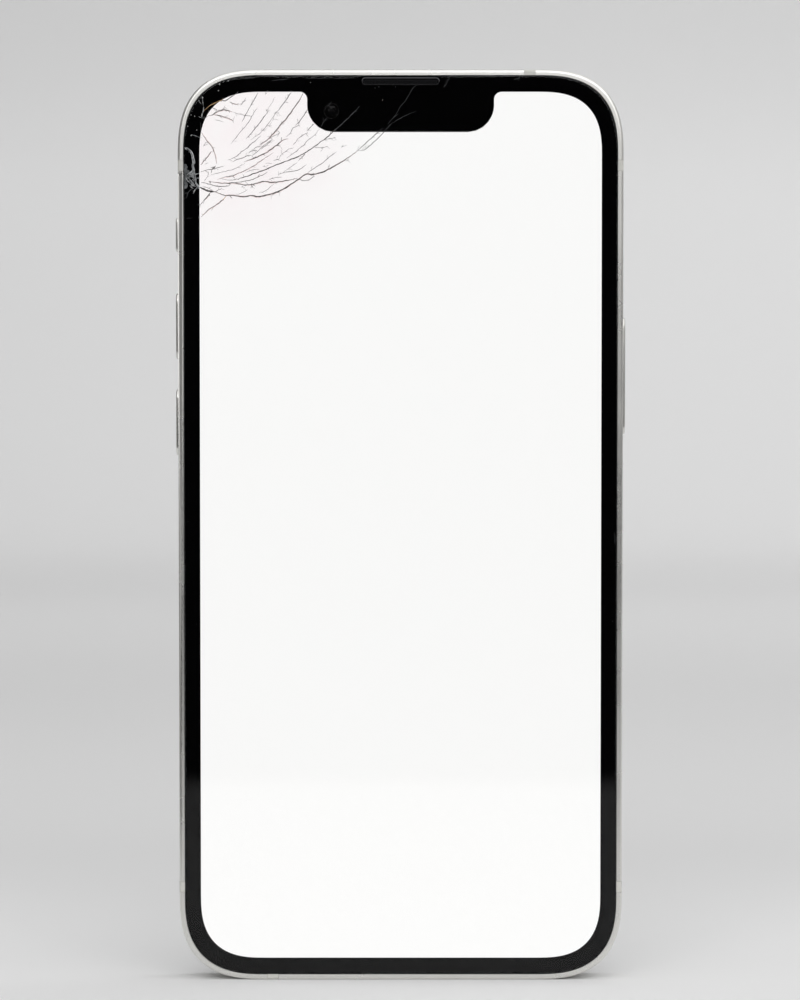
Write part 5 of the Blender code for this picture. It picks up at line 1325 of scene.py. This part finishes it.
CRUSHED = [(0.3, 11.5, 0.2, 4), (0.9, 12.1, 0.2, 4), (1.5, 13.8, 0.25, 6), (1.1, 15.6, 0.5, 9), (1.7, 16.6, 0.3, 6),
           (1.2, 17.4, 0.3, 4), (2.2, 17.7, 0.3, 4)]
BRIGHT_POINTS = [(2.45, 20.6, 0.3), (2.45, 22.6, 0.3), (2.95, 3.4, 0.38), (2.4, 3.95, 0.2), (1.15, 6.2, 0.22),
                 (1.7, 6.4, 0.22), (1.15, 9.45, 0.4), (0.6, 8.0, 0.22), (2.0, 8.6, 0.22), (5.7, 1.3, 0.3),
                 (5.5, 2.3, 0.26), (7.1, 0.8, 0.26), (8.6, 2.6, 0.2), (7.7, 3.1, 0.2), (13.4, 2.4, 0.2),
                 (17.2, 2.45, 0.2), (11.9, 2.5, 0.16), (15.0, 2.45, 0.12), (16.6, 0.2, 0.14), (20.3, 1.0, 0.12),
                 (23.6, 0.2, 0.14), (31.8, 3.8, 0.16), (30.6, 1.9, 0.1), (31.2, 1.7, 0.1), (33.9, 1.7, 0.1),
                 (68.9, 87.5, 0.1), (69.0, 134.7, 0.1), (1.8, 88.0, 0.1), (0.5, 71.4, 0.1), (2.6, 17.7, 0.2),
                 (2.7, 9.1, 0.16), (2.7, 9.8, 0.16)]


def veil(shape, left, right, strands, width, seed):
    """Adds a sheaf of fine cracks between two border paths, where the glass is crushed to a grey veil."""
    chance = random.Random(seed)
    for strand in range(strands):
        share = (strand + chance.uniform(0.2, 0.8)) / strands
        path = [tuple(Vector(a).lerp(Vector(b), share)) for a, b in zip(left, right)]
        sliver(shape, path, width * chance.uniform(0.6, 1.4), seed * 100 + strand, "web_a")


veils = bmesh.new()
veil(veils, [(0.33, 15.9), (0.9, 15.4), (1.55, 14.7)], [(0.33, 15.9), (1.2, 16.1), (2.0, 16.6)], 14, 0.06, 5)
veil(veils, [(0.33, 15.9), (0.8, 16.5), (1.0, 17.2)], [(0.33, 15.9), (1.2, 16.7), (2.1, 17.9)], 10, 0.04, 6)
veil(veils, [(1.2, 14.0), (1.35, 15.0), (1.5, 16.6)], [(1.5, 14.0), (1.7, 15.0), (1.8, 16.9)], 7, 0.05, 7)
dress(as_object("crushed_veil", veils), crack_finishes, angle=60)
crumbs = bmesh.new()
chance = random.Random(21)
for right, down, spread, count in CRUSHED:
    for _ in range(count):
        place = (max(0.12, chance.gauss(right, spread / 2)), chance.gauss(down, spread / 2))
        wedge(crumbs, glass_place(*place), chance.uniform(0.08, 0.24), chance)
for right, down, size in BRIGHT_POINTS:
    wedge(crumbs, glass_place(right, down), size, chance)
# glass crumbs: bright, with clear and frosted faces mixed
crumbled = finish("glass splinters", "#e6e9ea", 0.3, ior=1.51,
                  shades=(("Voronoi", {"Scale": grains(0.3)}, "Color"), "#8d9092", "#f4f6f6"))
dress(as_object("splinters", crumbs), crumbled, angle=10)

# %% [markdown]
# ## Inside the phone
#
# The parts inside keep their CAD meshes, because they show only if someone opens the phone or looks through a gap.
# Each still gets the finish of its own material, so that a cutaway view of the phone reads true.

# %% Finishes for the inside
def mottled(name, dark, light, grain, roughness, metallic=0.0, bump=0.3, kind="Noise"):
    """A finish with two shades and a fine relief, at a grain given in millimetres."""
    cells = (kind, {"Scale": grains(grain)})
    return finish(name, dark, roughness, metallic, None if metallic else 1.5, shades=(cells, dark, light),
                  relief=(cells, bump, grain * 0.1))


def circuit_finish():
    """Solder mask over copper: dark green, with traces that show as slightly raised, lighter lines."""
    skin, tree, shader, place = start_finish("solder mask over copper", "#0d2418", 0.32, ior=1.5)
    turned_place = add_node(tree, "ShaderNodeMapping", {"Rotation": (math.pi / 2, 0, 0)}, {0: place})
    traces = add_node(tree, "ShaderNodeTexBrick",
                      {"Color1": linear("#0b1f15"), "Color2": linear("#0f2b1c"), "Mortar": linear("#2c5a3c"),
                       "Scale": grains(1), "Mortar Size": 0.05, "Brick Width": 0.9, "Row Height": 0.35},
                      {"Vector": turned_place.outputs[0]})
    relief = add_node(tree, "ShaderNodeBump", {"Strength": 0.5, "Distance": 0.03 * MM},
                      {"Height": traces.outputs["Fac"]})
    tree.links.new(traces.outputs["Color"], shader.inputs["Base Color"])
    tree.links.new(relief.outputs[0], shader.inputs["Normal"])
    return skin


def winding_finish():
    """Enamelled copper wire, wound in rings 0.3 mm apart."""
    skin, tree, shader, place = start_finish("enamelled copper winding", "#b4693a", 0.3, metallic=1.0)
    centre = add_node(tree, "ShaderNodeMapping", {"Location": (-coil.x, 0, -HEIGHT / 2)}, {0: place})
    rings_of_wire = add_node(tree, "ShaderNodeTexWave", {"wave_type": "RINGS", "rings_direction": "Y",
                                                        "Scale": grains(0.3) / 20}, {"Vector": centre.outputs[0]})
    shade = add_node(tree, "ShaderNodeMix", {"data_type": "RGBA", 6: linear("#6d3719"), 7: linear("#c87d49")},
                     {0: rings_of_wire.outputs["Fac"]})
    relief = add_node(tree, "ShaderNodeBump", {"Strength": 0.7, "Distance": 0.1 * MM},
                      {"Height": rings_of_wire.outputs["Fac"]})
    tree.links.new(shade.outputs[2], shader.inputs["Base Color"])
    tree.links.new(relief.outputs[0], shader.inputs["Normal"])
    return skin


put_on(mottled("battery pouch, laminated foil", "#1a1b1d", "#2a2b2e", 3.5, 0.38, bump=0.5), "battery")
put_on(circuit_finish(), "logic_board", "dock_board")
put_on(winding_finish(), "charging_coil")
put_on(plated_finish("nickel-plated magnets", "#a9a8a2", 0.3), "magnet_ring")
put_on(mottled("sintered tungsten", "#5b5d60", "#76797c", 0.2, 0.42, metallic=1.0), "haptic_mass")
put_on(mottled("polyimide ribbon over copper", "#8a5a1c", "#b0782b", 1.2, 0.35), "display_flex")
put_on(mottled("closed-cell foam", "#0c0c0d", "#19191a", 0.25, 0.85, bump=0.8, kind="Voronoi"),
       "screen_seal")
put_on(mottled("graphite sheet on steel", "#2b2c2e", "#3b3c3f", 0.6, 0.4, metallic=0.6), "display_back_plate")
put_on(nylon, "display_frame", "loudspeaker", "infrared_camera", "dot_projector", "main_camera_body",
       "wide_camera_body", "power_switch", "volume_up_switch", "volume_down_switch", "silent_switch",
       "bottom_microphone")
put_on(steel, "earpiece_speaker", "sensor_bracket", "camera_bracket", "sim_reader", "haptic_case", "haptic_lid",
       "rear_microphone")
put_on(plated_finish("nickel silver shield, tinned", "#b4b5b3", 0.3), "processor_shield", "radio_shield")
put_on(black_steel, "board_screw_lower_left", "board_screw_upper_left", "board_screw_upper_right")
put_on(mottled("phosphor over a white lamp", "#e7d98a", "#f3ecb9", 0.2, 0.6), "flash_led")
print("finishes so far:", len(bpy.data.materials))

# %% [markdown]
# ## The room
#
# The photograph was taken against pale paper: a floor that runs back and sweeps up into a wall. The floor's front
# edge lies a third of a metre in front of the phone, and that edge can be seen in the picture: the lower border
# of the screen mirrors the floor, and the upper border mirrors the dark beyond it.

# %% Paper sweep
# painted light and shade: the paper's colour at stops along the sheet, lighter and darker where the lamps light it more
# or less
PAPER_PAINTED_LIGHT = [(-0.3, "#d8d8d8"), (0.02, "#ebebeb"), (0.17, "#dddddd"), (0.48, "#d7d7d7"), (0.86, "#e5e5e5"),
                (1.15, "#f1f1f1"), (1.45, "#eeeeee"), (1.6, "#e1e1e1")]  # metres along the sheet from the phone
# painted shade: between these distances in front of the glass the paper's colour darkens to near black at its front
# edge
PAINTED_SHADE_START, PAINTED_SHADE_END = 0.305, 0.255  # where the sheet darkens to its front edge


def paper_finish():
    """Matt seamless paper, pale grey, with a faint tooth and slow variation, and with painted light and shade: lighter
    and darker bands along the sheet, and a painted shade that darkens it towards its front edge.
    """
    skin, tree, shader, place = start_finish("seamless paper, pale grey, painted light and shade", "#d9dadb", 0.9, ior=1.45)
    shader.inputs["Specular IOR Level"].default_value = 0.15
    tooth = add_node(tree, "ShaderNodeTexNoise", {"Scale": grains(1.5), "Detail": 3.0}, {"Vector": place})
    slow = add_node(tree, "ShaderNodeTexNoise", {"Scale": grains(260), "Detail": 3.0}, {"Vector": place})
    bump = add_node(tree, "ShaderNodeBump", {"Strength": 0.15, "Distance": 0.1 * MM}, {"Height": tooth.outputs[0]})
    parts = add_node(tree, "ShaderNodeSeparateXYZ", None, {0: place})
    edge = add_node(tree, "ShaderNodeMapRange",
                    {"interpolation_type": "SMOOTHSTEP", "From Min": FRONT - PAINTED_SHADE_START, "From Max": FRONT - PAINTED_SHADE_END},
                    {"Value": parts.outputs["Y"]})
    way = add_node(tree, "ShaderNodeMath", {"operation": "ADD"}, {0: parts.outputs["Y"], 1: parts.outputs["Z"]})
    share = add_node(tree, "ShaderNodeMapRange", {"From Min": PAPER_PAINTED_LIGHT[0][0], "From Max": PAPER_PAINTED_LIGHT[-1][0]},
                     {"Value": way.outputs[0]})
    # the ramp of painted light and shade along the sheet
    shades = add_node(tree, "ShaderNodeValToRGB", None, {"Fac": share.outputs[0]})
    shades.color_ramp.interpolation = "EASE"
    painted_light_stops = shades.color_ramp.elements
    reach = PAPER_PAINTED_LIGHT[-1][0] - PAPER_PAINTED_LIGHT[0][0]
    painted_light_stops[0].color, painted_light_stops[1].color = linear(PAPER_PAINTED_LIGHT[0][1]), linear(PAPER_PAINTED_LIGHT[-1][1])
    for length, colour in PAPER_PAINTED_LIGHT[1:-1]:
        painted_light_stops.new((length - PAPER_PAINTED_LIGHT[0][0]) / reach).color = linear(colour)
    cloud = add_node(tree, "ShaderNodeMapRange", {"To Min": 0.98, "To Max": 1.0}, {"Value": slow.outputs[0]})
    cloudy = add_node(tree, "ShaderNodeMix", {"data_type": "RGBA", "blend_type": "MULTIPLY", 0: 1.0},
                      {6: shades.outputs[0], 7: cloud.outputs[0]})
    # painted shade towards the sheet's front edge
    painted_edge_shade = add_node(tree, "ShaderNodeMix", {"data_type": "RGBA", 6: linear("#161616")},
                     {0: edge.outputs[0], 7: cloudy.outputs[2]})
    tree.links.new(painted_edge_shade.outputs[2], shader.inputs["Base Color"])
    tree.links.new(bump.outputs[0], shader.inputs["Normal"])
    return skin


FLOOR_FRONT_EDGE, WALL_BEHIND, WALL_HEIGHT, BEND, PAPER_HALF_WIDTH = FRONT - 0.315, 1.35, 1.9, 0.3, 1.25
LIP, SHEET_THICKNESS = 0.012, 0.02
profile = [(FLOOR_FRONT_EDGE, -0.05), (FLOOR_FRONT_EDGE, -LIP)]
profile += [(FLOOR_FRONT_EDGE + LIP * (1 - math.cos(a)), -LIP + LIP * math.sin(a))
            for a in [math.radians(d) for d in (15, 30, 45, 60, 75, 90)]]
profile += [(WALL_BEHIND - BEND + BEND * math.sin(a), BEND * (1 - math.cos(a)))
            for a in [math.radians(d) for d in range(0, 91, 6)]]
profile += [(WALL_BEHIND, WALL_HEIGHT), (WALL_BEHIND + SHEET_THICKNESS, WALL_HEIGHT),
            (WALL_BEHIND + SHEET_THICKNESS, -0.05)]
sheet = loft([in_space(profile, "X", x) for x in (-PAPER_HALF_WIDTH, PAPER_HALF_WIDTH)])
sweep = as_object("paper_sweep", sheet)
sweep.data.materials.append(paper_finish())
sweep.data.shade_smooth()
sweep.data.set_sharp_from_angle(angle=math.radians(40))

# %% [markdown]
# ## Light
#
# A wide soft light overhead carries the scene, and a weaker one in front stands high enough that the screen doesn't
# mirror it, so its black border stays black. The light on the right is stronger than the one on the left, which the
# two sides of the rim show, and one more brightens the wall behind. All are large against the phone, which keeps
# the shadows under it soft.

# %% Lights
def soft_light(name, place, aim, size, watts):
    """A rectangular area light, aimed at a point."""
    lamp = bpy.data.lights.new(name, "AREA")
    lamp.shape = "RECTANGLE"
    lamp.size, lamp.size_y = size
    lamp.energy = watts
    holder = bpy.data.objects.new(name, lamp)
    holder.location = place
    holder.rotation_euler = (Vector(aim) - Vector(place)).to_track_quat("-Z", "Y").to_euler()
    holder.visible_camera = False
    bpy.context.scene.collection.objects.link(holder)


soft_light("overhead", (0.1, -0.35, 1.4), (0, 0, 0), (2.6, 1.6), 15)
soft_light("front", (0.1, -0.9, 0.52), (0, 0, 0.1), (1.4, 0.7), 5.6)
soft_light("right", (1.15, -0.1, 0.6), (0, 0, 0.1), (1.2, 1.1), 2.8)
soft_light("left", (-1.15, -0.1, 0.6), (0, 0, 0.1), (1.2, 1.1), 1.4)
soft_light("backdrop", (0.35, 0.35, 0.95), (0.25, 1.35, 0.2), (1.6, 0.4), 5.5)
world = bpy.data.worlds.new("dim room")
world.use_nodes = True
world.node_tree.nodes["Background"].inputs[0].default_value = linear("#2c2c2c")
bpy.context.scene.world = world
bpy.context.scene.view_settings.view_transform = "Standard"

# %% [markdown]
# ## Camera
#
# The phone is seen straight from the front from 0.7 m, with the camera a little above its middle and tipped down
# by under three degrees, which narrows the phone by one part in a hundred towards its foot. The lens then follows
# from the width of the view. The body's middle, seen in the photograph, is 0.1 mm right of the picture's.

# %% Camera
CAMERA_DISTANCE, CAMERA_HEIGHT, AIM_HEIGHT, AIM_ACROSS = 0.7, 0.112, 0.0777, -0.0001
VIEW_HEIGHT = 0.16068
camera = bpy.data.cameras.new("camera")
camera.sensor_width = 36
camera.lens = 36 * CAMERA_DISTANCE / VIEW_HEIGHT
camera.clip_start, camera.clip_end = 0.01, 20
camera_holder = bpy.data.objects.new("camera", camera)
camera_holder.location = (AIM_ACROSS, FRONT - CAMERA_DISTANCE, CAMERA_HEIGHT)
aim = Vector((AIM_ACROSS, FRONT, AIM_HEIGHT))
camera_holder.rotation_euler = (aim - camera_holder.location).to_track_quat("-Z", "Y").to_euler()
bpy.context.scene.collection.objects.link(camera_holder)
bpy.context.scene.camera = camera_holder
print(f"lens {camera.lens:.1f} mm")
